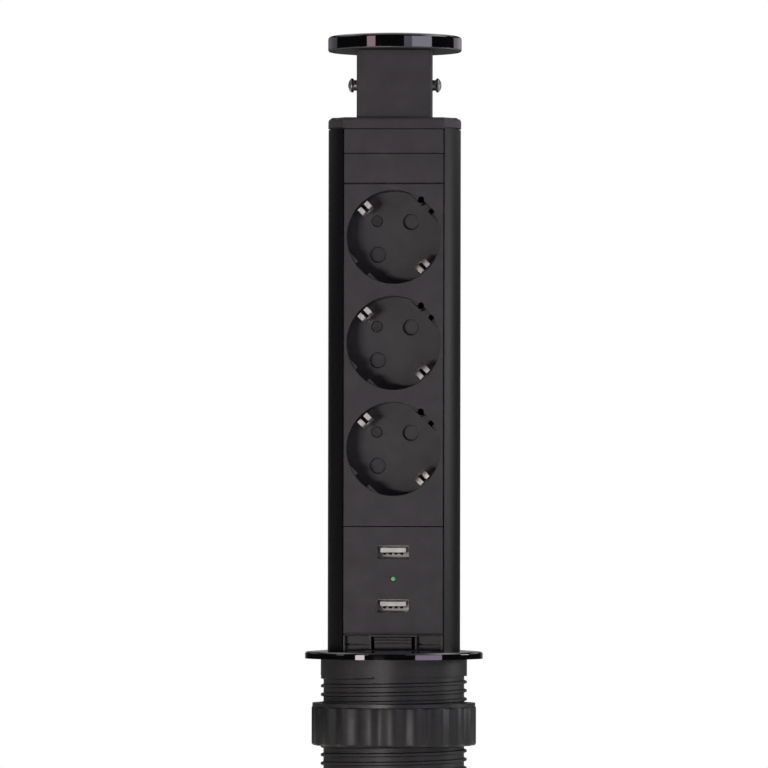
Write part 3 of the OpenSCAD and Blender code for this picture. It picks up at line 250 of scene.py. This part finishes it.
finishes = {
    "matte_panel": makeSparkAbs("abs_spark_textured", sparkAbs),
    # smoother than the panels, so the socket floors have a soft sheen
    "matte_floor": makeMoulded("abs_smooth_moulded", "#383638", "#424042", (0.42, 0.55)),
    "gloss_black": makePolishedAbs("abs_mirror_polished", polishedAbs),
    "anodised_black": makeAnodised("aluminium_black_anodised", anodised),
    # satin, a little darker than the panels above it
    "foot_plastic": makeMoulded("abs_satin_moulded", "#282729", "#313031", (0.35, 0.5)),
    # plain dull black for what is hidden
    "inner_plastic": makeMoulded("nylon_black_moulded", "#2a292b", "#343234", (0.45, 0.6)),
    # the glass fibres leave a dull, slightly warm black with broad, soft highlights
    "thread_plastic": makeMoulded("nylon_glass_filled", "#1c1c1b", "#262624", (0.4, 0.55), cloud=5.0),
    # the same, a little smoother, so its waves catch the light
    "nut_plastic": makeMoulded("nylon_glass_filled_satin", "#161615", "#21211f", (0.36, 0.5), cloud=4.0),
    # milky off-white, even and a little shiny
    "pale_plastic": makeMoulded("pbt_off_white", "#d2d4ca", "#e4e6dc", (0.4, 0.5), cloud=3.0),
    # nearly no gloss
    "rubber_black": makeMoulded("rubber_moulded", "#161616", "#1f1f1f", (0.6, 0.8), cloud=3.0),
    # mottled fibres, no gloss at all
    "felt_grey": makeMoulded("wool_felt_pressed", "#2c2c2e", "#454547", (0.9, 1.0), cloud=1.0, skin=0.3,
                             bumpStrength=0.9),
    # bluish bright plating
    "zinc_steel": makeMetal("steel_zinc_plated", "#a9abad", "#c9cbcd", (0.25, 0.4)),
    # dark, with an oily gloss
    "black_steel": makeMoulded("steel_black_oxide", "#1c1c1e", "#29292b", (0.3, 0.45), cloud=1.5, skin=0.3),
    # warm white plating with a soft gloss
    "nickel_steel": makeMetal("bronze_nickel_plated", "#c9c5be", "#e6e3dd", (0.34, 0.46)),
    # bright drawn wire
    "spring_steel": makeMetal("steel_wire_drawn", "#9a9a9c", "#bdbdbf", (0.2, 0.3)),
    # grey where it mirrors a lamp, nearly black elsewhere
    "button_steel": makeMetal("steel_black_nickel", "#868686", "#a4a4a4", (0.34, 0.46)),
    # grey tin with a soft shine
    "port_steel": makeMetal("steel_tin_plated", "#8f8f8d", "#b5b5b2", (0.26, 0.42)),
    # yellow, with rolling streaks
    "contact_brass": makeMetal("brass_stamped", "#b8924e", "#d2ad68", (0.25, 0.4)),
    # gold flash painted far darker than real gold: painted shade, as if the port's shade lay on the contacts
    "contact_gold": makeMetal("bronze_gold_flash_painted_shade", "#4a3c20", "#64522c", (0.35, 0.5)),
    # buff card, quite dull
    "insulation_paper": makeMoulded("fish_paper", "#b9ad8c", "#cdc2a3", (0.8, 0.95), cloud=4.0, skin=0.5),
    # glossy green lacquer
    "circuit_board": makeMoulded("glass_epoxy_green_mask", "#143f2a", "#1d5136", (0.25, 0.4), cloud=5.0),
    "green_lens": makeGreenLens("epoxy_green_lens", lensLook),
    # shiny yellow film
    "winding_yellow": makeMoulded("polyester_tape_wound", "#b5922f", "#cfae4a", (0.3, 0.45), cloud=4.0),
    # dark blue-black film, shrunk tight and shiny
    "capacitor_sleeve": makeMoulded("pvc_shrink_sleeve", "#1a2028", "#262d38", (0.2, 0.3), cloud=3.0),
}

# the lid's underside is left coarse, so it stays dark even in light that grazes it
lidUnderside = makeMoulded("abs_coarse_underside", "#2b292c", "#343135", (0.6, 0.75), ior=1.05)

# the lid's lower edge is only buffed, so it shows a soft grey line instead of a mirrored lamp
lidFoot = makePolishedAbs("abs_buffed_edge", {**polishedAbs, "rough": (0.36, 0.46)})
print("finishes made:", len(finishes) + 2)  # two more on the lid

for nodeName, slotName in slotOf.items():
    cadNode = nodes[nodeName]
    for i in range(len(cadNode.data.materials)):
        cadNode.data.materials[i] = finishes[slotName]
print("finishes put on", len(slotOf), "nodes")


# a finished mesh becomes a piece that stands for a node: it rides with the node's body, or, given a crossing,
# stays put with no body
def placePiece(mesh, name, standsFor, materials=None, crease=35, flatFaces=False, crossing=None):
    data = bpy.data.meshes.new(name)
    mesh.to_mesh(data)
    mesh.free()
    if "custom_normal" in data.attributes:
        data.attributes.remove(data.attributes["custom_normal"])
    for material in materials or [finishes[slotOf[standsFor]]]:
        data.materials.append(material)
    data.shade_smooth()
    data.set_sharp_from_angle(angle=math.radians(crease))
    piece = bpy.data.objects.new(name, data)
    bpy.context.collection.objects.link(piece)
    if flatFaces:
        weights = piece.modifiers.new("flat_faces", "WEIGHTED_NORMAL")
        weights.keep_sharp = True
    if crossing:
        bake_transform(piece)
    else:
        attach(piece, bodyOf[standsFor])
    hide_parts(standsFor)
    return piece


# a copy of a node's loose triangles, joined into one skin
def mergedCopy(nodeName):
    copy = bmesh.new()
    copy.from_mesh(nodes[nodeName].data)
    bmesh.ops.remove_doubles(copy, verts=copy.verts, dist=merge)
    return copy


# adds one mesh to another
def joinMesh(target, source):
    carried = bpy.data.meshes.new("carried")
    source.to_mesh(carried)
    source.free()
    target.from_mesh(carried)
    bpy.data.meshes.remove(carried)


# the vertices among what an operator returns
def vertsIn(geometry):
    return [v for v in geometry if isinstance(v, bmesh.types.BMVert)]


# spins an open or closed outline round the Z axis into a closed skin
def spinRound(mesh, steps):
    bmesh.ops.spin(mesh, geom=mesh.verts[:] + mesh.edges[:], cent=(0, 0, 0), axis=(0, 0, 1), dvec=(0, 0, 0),
                   angle=2 * math.pi, steps=steps, use_merge=True)
    bmesh.ops.remove_doubles(mesh, verts=mesh.verts, dist=seam)
    bmesh.ops.recalc_face_normals(mesh, faces=mesh.faces)


# rounds one corner of an outline, or some edges of a solid
def ease(mesh, geometry, width, affect, segments=4):
    bmesh.ops.bevel(mesh, geom=geometry, offset=width * mm, offset_type="OFFSET", segments=segments,
                    profile=0.5, affect=affect, clamp_overlap=False, material=-1)


# mouldings keep their shape and get the small radius that every moulded edge has, inside the box given in mm
# "beyond" leaves out what is nearer to the column's middle
# "planes" False leaves the faces as triangles, because making them whole breaks that block
mouldings = {
    "socket_panel": {"ease": 0.3, "low": (-30, -20, 0), "high": (30, -16.5, 250)},
    "usb_panel": {"ease": 0.3, "low": (-30, -20, 0), "high": (30, -17, 250)},
    "filler_panel": {"ease": 0.25, "low": (-30, -20, 0), "high": (30, -17, 250)},
    "head_strip": {"ease": 0.25, "low": (-30, -20, 0), "high": (30, -17, 250)},
    "foot_block": {"ease": 0.2, "low": (-30, -20, 2.2), "high": (30, -17.1, 12), "planes": False},
    "catch": {"ease": 0.2, "low": (-30, -20, 0), "high": (30, -16, 12)},
    "socket_base_1": {"ease": 0.5, "low": (-30, -1, 0), "high": (30, 0.2, 250)},
    "socket_base_2": {"ease": 0.5, "low": (-30, -1, 0), "high": (30, 0.2, 250)},
    "socket_base_3": {"ease": 0.5, "low": (-30, -1, 0), "high": (30, 0.2, 250)},
    "top_plate": {"ease": 1.3, "low": (-30, -30, 219), "high": (30, 30, 221), "beyond": 25},
    "left_button": {"ease": 0.6, "low": (-30, -5, 225), "high": (-16, 5, 245)},
    "right_button": {"ease": 0.6, "low": (16, -5, 225), "high": (30, 5, 245)},
}
flatAngle = math.radians(1)
cornerAngle = math.radians(40)
for nodeName, look in mouldings.items():
    solid = mergedCopy(nodeName)
    if look.get("planes", True):
        bmesh.ops.dissolve_limit(solid, angle_limit=flatAngle, verts=solid.verts, edges=solid.edges)
    edges = []
    for edge in solid.edges:
        inside = all(low * mm < place < high * mm for v in edge.verts
                     for low, place, high in zip(look["low"], v.co, look["high"]))
        inside = inside and all(v.co.xy.length > look.get("beyond", 0) * mm for v in edge.verts)
        if inside and edge.is_manifold and edge.is_convex and edge.calc_face_angle() > cornerAngle:
            edges.append(edge)
    ease(solid, edges, look["ease"], "EDGES", segments=3)
    placePiece(solid, nodeName + "_eased", nodeName, flatFaces=True)
print("mouldings eased:", len(mouldings))

# the thread is one smooth helix to the eye
sleeve = mergedCopy("threaded_sleeve")
bmesh.ops.recalc_face_normals(sleeve, faces=sleeve.faces)
placePiece(sleeve, "threaded_sleeve_smooth", "threaded_sleeve", crease=25)

# the springs are smooth copies that stay put, riding with neither the piece they push nor the column
catchLow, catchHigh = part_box("catch_springs")
releaseLow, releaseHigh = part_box("release_spring")
springs = {
    "catch_springs": {"moving": "catch", "start": (0, catchLow.y, 0), "end": (0, catchHigh.y, 0)},
    "release_spring": {"moving": "release_bar", "start": (0, 0, releaseHigh.z), "end": (0, 0, releaseLow.z)},
}
for nodeName, crossing in springs.items():
    coil = mergedCopy(nodeName)
    bmesh.ops.recalc_face_normals(coil, faces=coil.faces)
    placePiece(coil, nodeName + "_wound", nodeName, crossing=crossing)
print("springs wound:", len(springs))

# "buffed" is the share of the lower rounding, from below, that is still underside
lidLook = {"crown": 1.3, "edge": 1.2, "foot": 0.8, "buffed": 0.3, "arc": 14, "rounding": 8, "around": 160}


# domed gloss lid with a coarse underside
def makeLid(look):
    low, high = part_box("lid")
    radius = high.x
    crown = look["crown"] * mm
    domeRadius = (radius ** 2 + crown ** 2) / (2 * crown)
    lid = bmesh.new()
    crest = lid.verts.new((0, 0, high.z))
    dome = bmesh.ops.spin(lid, geom=[crest], cent=(0, 0, high.z - domeRadius), axis=(0, 1, 0), dvec=(0, 0, 0),
                          angle=math.asin(radius / domeRadius), steps=look["arc"])
    rim = vertsIn(dome["geom_last"])[0]
    foot = lid.verts.new((radius, 0, low.z))
    middle = lid.verts.new((0, 0, low.z))
    lid.edges.new((rim, foot))
    lid.edges.new((foot, middle))
    ease(lid, [rim], look["edge"], "VERTICES", look["rounding"])
    ease(lid, [foot], look["foot"], "VERTICES", look["rounding"])
    spinRound(lid, look["around"])
    for face in lid.faces:
        rise = (face.calc_center_median().z - low.z) / (look["foot"] * mm)
        face.material_index = 0 if rise > 1 else 2 if rise > look["buffed"] else 1
    coats = [finishes["gloss_black"], lidUnderside, lidFoot]
    return placePiece(lid, "lid_domed", "lid", coats, flatFaces=True)


makeLid(lidLook)

# "inside" keeps the rim just within the node's own
bezelLook = {"inside": 0.01, "bore": 27.5, "boreEdge": 0.3, "slope": 0.6, "edge": 0.9, "rounding": 8,
             "rim": 2.8, "lipUnder": 2.0, "lipChord": -18.4, "lipInto": 0.1, "lipEdge": 0.3, "around": 180}


# gloss ring on the desk, with the flat lip that keys the column
def makeBezel(look):
    low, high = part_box("bezel_ring")
    radius = -low.x / mm - look["inside"]
    top = high.z / mm
    ring = bmesh.new()
    outline = [(look["bore"], look["lipUnder"]), (look["bore"], top),
               (radius, top - look["slope"]), (radius, 0),
               (radius - look["rim"], 0), (radius - look["rim"], look["lipUnder"])]
    corners = [ring.verts.new((r * mm, 0, z * mm)) for r, z in outline]
    for i in range(len(corners)):
        ring.edges.new((corners[i - 1], corners[i]))
    ease(ring, [corners[2]], look["edge"], "VERTICES", look["rounding"])
    ease(ring, [corners[1]], look["boreEdge"], "VERTICES")
    spinRound(ring, look["around"])
    lip = bmesh.new()
    bmesh.ops.create_circle(lip, cap_ends=True, segments=look["around"],
                            radius=(look["bore"] + look["lipInto"]) * mm)
    bmesh.ops.bisect_plane(lip, geom=lip.verts[:] + lip.edges[:] + lip.faces[:],
                           plane_co=(0, look["lipChord"] * mm, 0), plane_no=(0, 1, 0), clear_outer=True)
    bmesh.ops.translate(lip, verts=lip.verts, vec=(0, 0, look["lipUnder"] * mm))
    grown = bmesh.ops.extrude_face_region(lip, geom=lip.faces[:])
    bmesh.ops.translate(lip, verts=vertsIn(grown["geom"]), vec=(0, 0, (top - look["lipUnder"]) * mm))
    bmesh.ops.recalc_face_normals(lip, faces=lip.faces)
    chord = [e for e in lip.edges if all(abs(v.co.y - look["lipChord"] * mm) < near for v in e.verts)
             and all(abs(v.co.z - high.z) < near for v in e.verts)]
    ease(lip, chord, look["lipEdge"], "EDGES")
    joinMesh(ring, lip)
    return placePiece(ring, "bezel_ring_turned", "bezel_ring", flatFaces=True)


makeBezel(bezelLook)

nutLook = {"lobes": 20, "perLobe": 12, "flute": 1.2, "crest": 1.4, "bore": 30.1, "wall": 1.0, "lowEdge": 1.0,
           "topEdge": 0.5}


# ring nut whose rim runs in soft waves, with crests broader than its valleys
def makeNut(look):
    low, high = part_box("ring_nut")
    radius = high.x
    count = look["lobes"] * look["perLobe"]
    nut = bmesh.new()
    bmesh.ops.create_circle(nut, segments=count, radius=radius)
    for v in nut.verts:
        wave = 0.5 - 0.5 * math.cos(look["lobes"] * math.atan2(v.co.y, v.co.x))
        v.co *= 1 - look["flute"] * mm / radius * wave ** look["crest"]
    bmesh.ops.create_circle(nut, segments=count, radius=look["bore"] * mm)
    bmesh.ops.bridge_loops(nut, edges=nut.edges[:])
    bmesh.ops.translate(nut, verts=nut.verts, vec=(0, 0, low.z))
    grown = bmesh.ops.extrude_face_region(nut, geom=nut.faces[:])
    bmesh.ops.translate(nut, verts=vertsIn(grown["geom"]), vec=(0, 0, high.z - low.z))
    bmesh.ops.recalc_face_normals(nut, faces=nut.faces)
    outside = (look["bore"] + look["wall"]) * mm
    for level, width in ((low.z, look["lowEdge"]), (high.z, look["topEdge"])):
        rim = [e for e in nut.edges
               if all(abs(v.co.z - level) < near and v.co.xy.length > outside for v in e.verts)]
        ease(nut, rim, width, "EDGES")
    return placePiece(nut, "ring_nut_fluted", "ring_nut")


makeNut(nutLook)

# the path goes out and forward from the bar: distance from the socket's middle, then depth
clipLook = {"root": 16.8, "path": ((16.8, -7.6), (14.3, -11.0), (15.1, -12.22), (16.0, -13.6), (18.3, -13.9)),
            "bends": (0.8, 0.8, 0, 0.8), "slit": 1.4, "prong": 2.1, "split": -12.2, "sheet": 0.6,
            "edge": 0.12, "angles": (45, 225), "barWidth": 6.0, "barSheet": 0.8}


# sprung earth clips, each slit into two prongs beyond its bow, on one bar down the back
def makeEarthBar(look):
    low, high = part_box("earth_bar")
    back = high.y / mm - look["barSheet"] + look["sheet"] / 2
    clip = bmesh.new()
    points = [(0, back), (look["root"], back), *look["path"]]
    corners = [clip.verts.new((r * mm, y * mm, 0)) for r, y in points]
    for start, end in zip(corners, corners[1:]):
        clip.edges.new((start, end))
    for corner, bend in zip(corners[2:], look["bends"]):
        if bend:
            ease(clip, [corner], bend, "VERTICES")
    rail = clip.edges[:]
    for width in (look["prong"], look["slit"], look["prong"]):
        grown = bmesh.ops.extrude_edge_only(clip, edges=rail)["geom"]
        rail = [e for e in grown if isinstance(e, bmesh.types.BMEdge) and e.verts[0].co.z == e.verts[1].co.z]
        moved = {v for e in rail for v in e.verts}
        bmesh.ops.translate(clip, verts=list(moved), vec=(0, 0, width * mm))
    slitLow, slitHigh = look["prong"] * mm, (look["prong"] + look["slit"]) * mm
    slit = [f for f in clip.faces if slitLow < f.calc_center_median().z < slitHigh
            and f.calc_center_median().y < look["split"] * mm]
    bmesh.ops.delete(clip, geom=slit, context="FACES")
    bmesh.ops.translate(clip, verts=clip.verts, vec=(0, 0, -(look["prong"] + look["slit"] / 2) * mm))
    bmesh.ops.recalc_face_normals(clip, faces=clip.faces)
    bmesh.ops.solidify(clip, geom=clip.faces[:], thickness=look["sheet"] * mm)
    bmesh.ops.recalc_face_normals(clip, faces=clip.faces)
    clipData = bpy.data.meshes.new("clip")
    clip.to_mesh(clipData)
    clip.free()
    bar = bmesh.new()
    for i in (1, 2, 3):
        baseLow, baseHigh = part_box("socket_base_%d" % i)
        centre = (baseLow.z + baseHigh.z) / 2
        for angle in look["angles"]:
            before = set(bar.verts)
            bar.from_mesh(clipData)
            fresh = [v for v in bar.verts if v not in before]
            turn = Matrix.Translation((0, 0, centre)) @ Matrix.Rotation(math.radians(angle), 4, "Y")
            bmesh.ops.transform(bar, matrix=turn, verts=fresh)
    bpy.data.meshes.remove(clipData)
    spine = bmesh.ops.create_cube(bar, size=1.0)["verts"]
    bmesh.ops.scale(bar, verts=spine, vec=(look["barWidth"] * mm, look["barSheet"] * mm, high.z - low.z))
    bmesh.ops.translate(bar, verts=spine, vec=(0, high.y - look["barSheet"] / 2 * mm, (low.z + high.z) / 2))
    piece = placePiece(bar, "earth_bar_sprung", "earth_bar")
    eased = piece.modifiers.new("stamped_edges", "BEVEL")
    eased.width = look["edge"] * mm
    eased.segments = 2
    eased.limit_method = "ANGLE"
    return piece


makeEarthBar(clipLook)

# the path goes from the root to the tip: depth, then drop; places are counted in pitches from the middle
pinLook = {"pitch": 2.3, "places": (-1.5, -0.5, 0.5, 1.5), "width": 1.15, "sheet": 0.2,
           "path": ((-10.6, 0.0), (-13.4, -0.45), (-15.0, -0.75), (-15.9, -0.1)), "bends": (0.8, 0.35)}


# four bowed spring contacts under each tongue
def makePins(look):
    low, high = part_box("usb_contacts")
    sheet = look["sheet"] * mm
    pins = bmesh.new()
    for top in (high.z, low.z + sheet):
        for place in look["places"]:
            pin = bmesh.new()
            left = (place * look["pitch"] - look["width"] / 2) * mm
            corners = [pin.verts.new((left, y * mm, top + drop * mm - sheet / 2)) for y, drop in look["path"]]
            for start, end in zip(corners, corners[1:]):
                pin.edges.new((start, end))
            for corner, bend in zip(corners[1:], look["bends"]):
                ease(pin, [corner], bend, "VERTICES", segments=3)
            grown = bmesh.ops.extrude_edge_only(pin, edges=pin.edges[:])["geom"]
            bmesh.ops.translate(pin, verts=vertsIn(grown), vec=(look["width"] * mm, 0, 0))
            bmesh.ops.recalc_face_normals(pin, faces=pin.faces)
            bmesh.ops.solidify(pin, geom=pin.faces[:], thickness=sheet)
            bmesh.ops.recalc_face_normals(pin, faces=pin.faces)
            joinMesh(pins, pin)
    return placePiece(pins, "usb_contacts_sprung", "usb_contacts")


makePins(pinLook)
print("turned and stamped pieces made")

# the floor glows to white away from the object and keeps its shadow near it, and reflections find it dimmer
floorLook = {"size": 6.0, "low": "#dcdad6", "high": "#e6e4e0", "mottle": 60.0, "rough": (0.8, 0.9),
             "white": "#ffffff", "glow": (0.45, 1.0), "fade": (0.4, 1.5), "mirror": 0.3}
floorMesh = bmesh.new()
bmesh.ops.create_grid(floorMesh, x_segments=2, y_segments=2, size=floorLook["size"] / 2)
bmesh.ops.translate(floorMesh, verts=floorMesh.verts, vec=(0, 0, cadLow.z))
floorData = bpy.data.meshes.new("floor")
floorMesh.to_mesh(floorData)
floorMesh.free()
floor = bpy.data.objects.new("floor", floorData)
bpy.context.collection.objects.link(floor)

# matt paper: pale, with a faint mottle
sweep = makeMoulded("paper_sweep", floorLook["low"], floorLook["high"], floorLook["rough"],
                    cloud=floorLook["mottle"])
paper = sweep.node_tree
sweepShader = paper.nodes["Principled BSDF"]
seen = addNode(paper, "ShaderNodeLightPath")
spot = addNode(paper, "ShaderNodeTexCoord")
away = addNode(paper, "ShaderNodeVectorMath", settings={"operation": "LENGTH"}, links={0: (spot, "Object")})
fade = addNode(paper, "ShaderNodeMapRange",
               inputs={"From Min": floorLook["fade"][0], "From Max": floorLook["fade"][1],
                       "To Min": floorLook["glow"][0], "To Max": floorLook["glow"][1]},
               links={"Value": (away, "Value")})
shine = addNode(paper, "ShaderNodeMath", settings={"operation": "MAXIMUM"},
                links={0: (seen, "Is Glossy Ray"), 1: (seen, "Is Transmission Ray")})
dimmed = addNode(paper, "ShaderNodeMath", settings={"operation": "MULTIPLY"}, inputs={1: floorLook["mirror"]},
                 links={0: (shine, "Value")})
shown = addNode(paper, "ShaderNodeMath", settings={"operation": "MAXIMUM"},
                links={0: (seen, "Is Camera Ray"), 1: (dimmed, "Value")})
glow = addNode(paper, "ShaderNodeMath", settings={"operation": "MULTIPLY"},
               links={0: (shown, "Value"), 1: (fade, "Result")})
paper.links.new(glow.outputs["Value"], sweepShader.inputs["Emission Strength"])
sweepShader.inputs["Emission Color"].default_value = linearColor(floorLook["white"])
floorData.materials.append(sweep)

# white seen behind the object, a dim studio everywhere else
# reflections find the white straight behind only, and dimmer, because the real gloss shows a dark studio
backdrop = {"white": "#ffffff", "ambient": "#dfe3ea", "ambientStrength": 0.02, "behind": (0, 1, 0),
            "edge": (0.9, 0.97), "mirror": 0.25}
world = bpy.data.worlds.new("studio")
bpy.context.scene.world = world
world.use_nodes = True
sky = world.node_tree
sky.nodes.clear()
path = addNode(sky, "ShaderNodeLightPath")
ambient = addNode(sky, "ShaderNodeBackground",
                  inputs={"Color": linearColor(backdrop["ambient"]), "Strength": backdrop["ambientStrength"]})
white = addNode(sky, "ShaderNodeBackground",
                inputs={"Color": linearColor(backdrop["white"]), "Strength": 1.0})
heading = addNode(sky, "ShaderNodeTexCoord")
facing = addNode(sky, "ShaderNodeVectorMath", settings={"operation": "DOT_PRODUCT"},
                 inputs={1: backdrop["behind"]}, links={0: (heading, "Generated")})
behind = addNode(sky, "ShaderNodeMapRange",
                 inputs={"From Min": backdrop["edge"][0], "From Max": backdrop["edge"][1],
                         "To Max": backdrop["mirror"]},
                 links={"Value": (facing, "Value")})
glint = addNode(sky, "ShaderNodeMath", settings={"operation": "MAXIMUM"},
                links={0: (path, "Is Glossy Ray"), 1: (path, "Is Transmission Ray")})
mirrored = addNode(sky, "ShaderNodeMath", settings={"operation": "MULTIPLY"},
                   links={0: (glint, "Value"), 1: (behind, "Result")})
whitened = addNode(sky, "ShaderNodeMath", settings={"operation": "MAXIMUM"},
                   links={0: (path, "Is Camera Ray"), 1: (mirrored, "Value")})
blend = addNode(sky, "ShaderNodeMixShader",
                links={"Fac": (whitened, "Value"), 1: (ambient, "Background"), 2: (white, "Background")})
addNode(sky, "ShaderNodeOutputWorld", links={"Surface": (blend, "Shader")})

# lamps stand round the column and face its middle, and are white unless a colour is given
# the azimuth is in degrees from the camera's side, positive to the right
# distance, height and size are in metres, and power is in watts
lamps = {
    "key_front": {"azimuth": -18, "distance": 2.6, "height": -0.205, "size": (0.58, 0.15), "power": 15.5,
                  "color": "#fffafa"},
    "tall_left": {"azimuth": -40, "distance": 1.2, "height": 0.38, "size": (0.32, 0.36), "power": 1.05,
                  "color": "#ffd3e4"},
    "strip_left": {"azimuth": -43, "distance": 1.2, "height": -0.03, "size": (0.26, 0.1), "power": 0.6,
                   "color": "#fff4fa"},
    "tall_right": {"azimuth": 49, "distance": 1.2, "height": 0.42, "size": (0.8, 0.3), "power": 1.9,
                   "color": "#eeebff"},
    "tall_edge": {"azimuth": 24, "distance": 1.2, "height": 0.42, "size": (0.31, 0.3), "power": 0.28,
                  "color": "#eeebff"},
    "strip_right": {"azimuth": 47, "distance": 1.2, "height": -0.03, "size": (0.8, 0.1), "power": 0.6,
                    "color": "#f3dcff"},
    "rim_right": {"azimuth": 106, "distance": 1.0, "height": 0.16, "size": (0.3, 0.24), "power": 1.3},
    "card_right": {"azimuth": 141, "distance": 1.0, "height": 0.38, "size": (0.66, 0.2), "power": 0.36,
                   "color": "#f4f0f8"},
    "card_left": {"azimuth": -136, "distance": 1.0, "height": 0.4, "size": (0.7, 0.24), "power": 0.22,
                  "color": "#e9dcf2"},
    "side_right": {"azimuth": 88, "distance": 1.2, "height": 1.2, "size": (1.2, 0.8), "power": 7.0},
    "side_left": {"azimuth": -100, "distance": 1.2, "height": 1.25, "size": (1.2, 0.8), "power": 2.4},
    "back": {"azimuth": 180, "distance": 1.1, "height": 1.45, "size": (2.0, 1.0), "power": 8.0},
    "back_low": {"azimuth": 180, "distance": 1.2, "height": -0.18, "size": (0.36, 0.2), "power": 1.2},
    "overhead": {"azimuth": 180, "distance": 0.1, "height": 1.6, "size": (2.0, 2.0), "power": 7.5},
    "side_low": {"azimuth": -72, "distance": 1.2, "height": 0.15, "size": (0.25, 0.24), "power": 0.6},
}
aim = Vector((0, 0, 120 * mm))
for name, lamp in lamps.items():
    data = bpy.data.lights.new(name, "AREA")
    data.shape = "RECTANGLE"
    data.size, data.size_y = lamp["size"]
    data.energy = lamp["power"]
    data.color = linearColor(lamp.get("color", "#ffffff"))[:3]
    lampObject = bpy.data.objects.new(name, data)
    bpy.context.collection.objects.link(lampObject)
    turn = math.radians(lamp["azimuth"])
    out = lamp["distance"]
    lampObject.location = (out * math.sin(turn), -out * math.cos(turn), lamp["height"])
    lampObject.rotation_euler = (aim - lampObject.location).to_track_quat("-Z", "Y").to_euler()
print("lamps set:", ", ".join(lamps))

# long lens, straight on and a little below the middle of the column
view = {"distance": 3000 * mm, "azimuth": 1.27, "sideways": -4.22 * mm, "height": 62 * mm,
        "lookHeight": 111.8 * mm, "lens": 345.0, "sensor": 36, "sight": 50, "roll": 0.1}
cameraData = bpy.data.cameras.new("camera")
cameraData.lens = view["lens"]
cameraData.sensor_width = view["sensor"]
cameraData.clip_end = view["sight"]
camera = bpy.data.objects.new("camera", cameraData)
bpy.context.collection.objects.link(camera)
swing = Quaternion((0, 0, 1), math.radians(view["azimuth"]))
pitch = math.atan((view["lookHeight"] - view["height"]) / view["distance"])
upright = Quaternion((1, 0, 0), math.pi / 2 + pitch)
camera.location = swing @ Vector((view["sideways"], -view["distance"], view["height"]))
camera.rotation_euler = (swing @ upright @ Quaternion((0, 0, 1), math.radians(view["roll"]))).to_euler()
bpy.context.scene.camera = camera
bpy.context.scene.view_settings.view_transform = "Standard"
print("camera set")
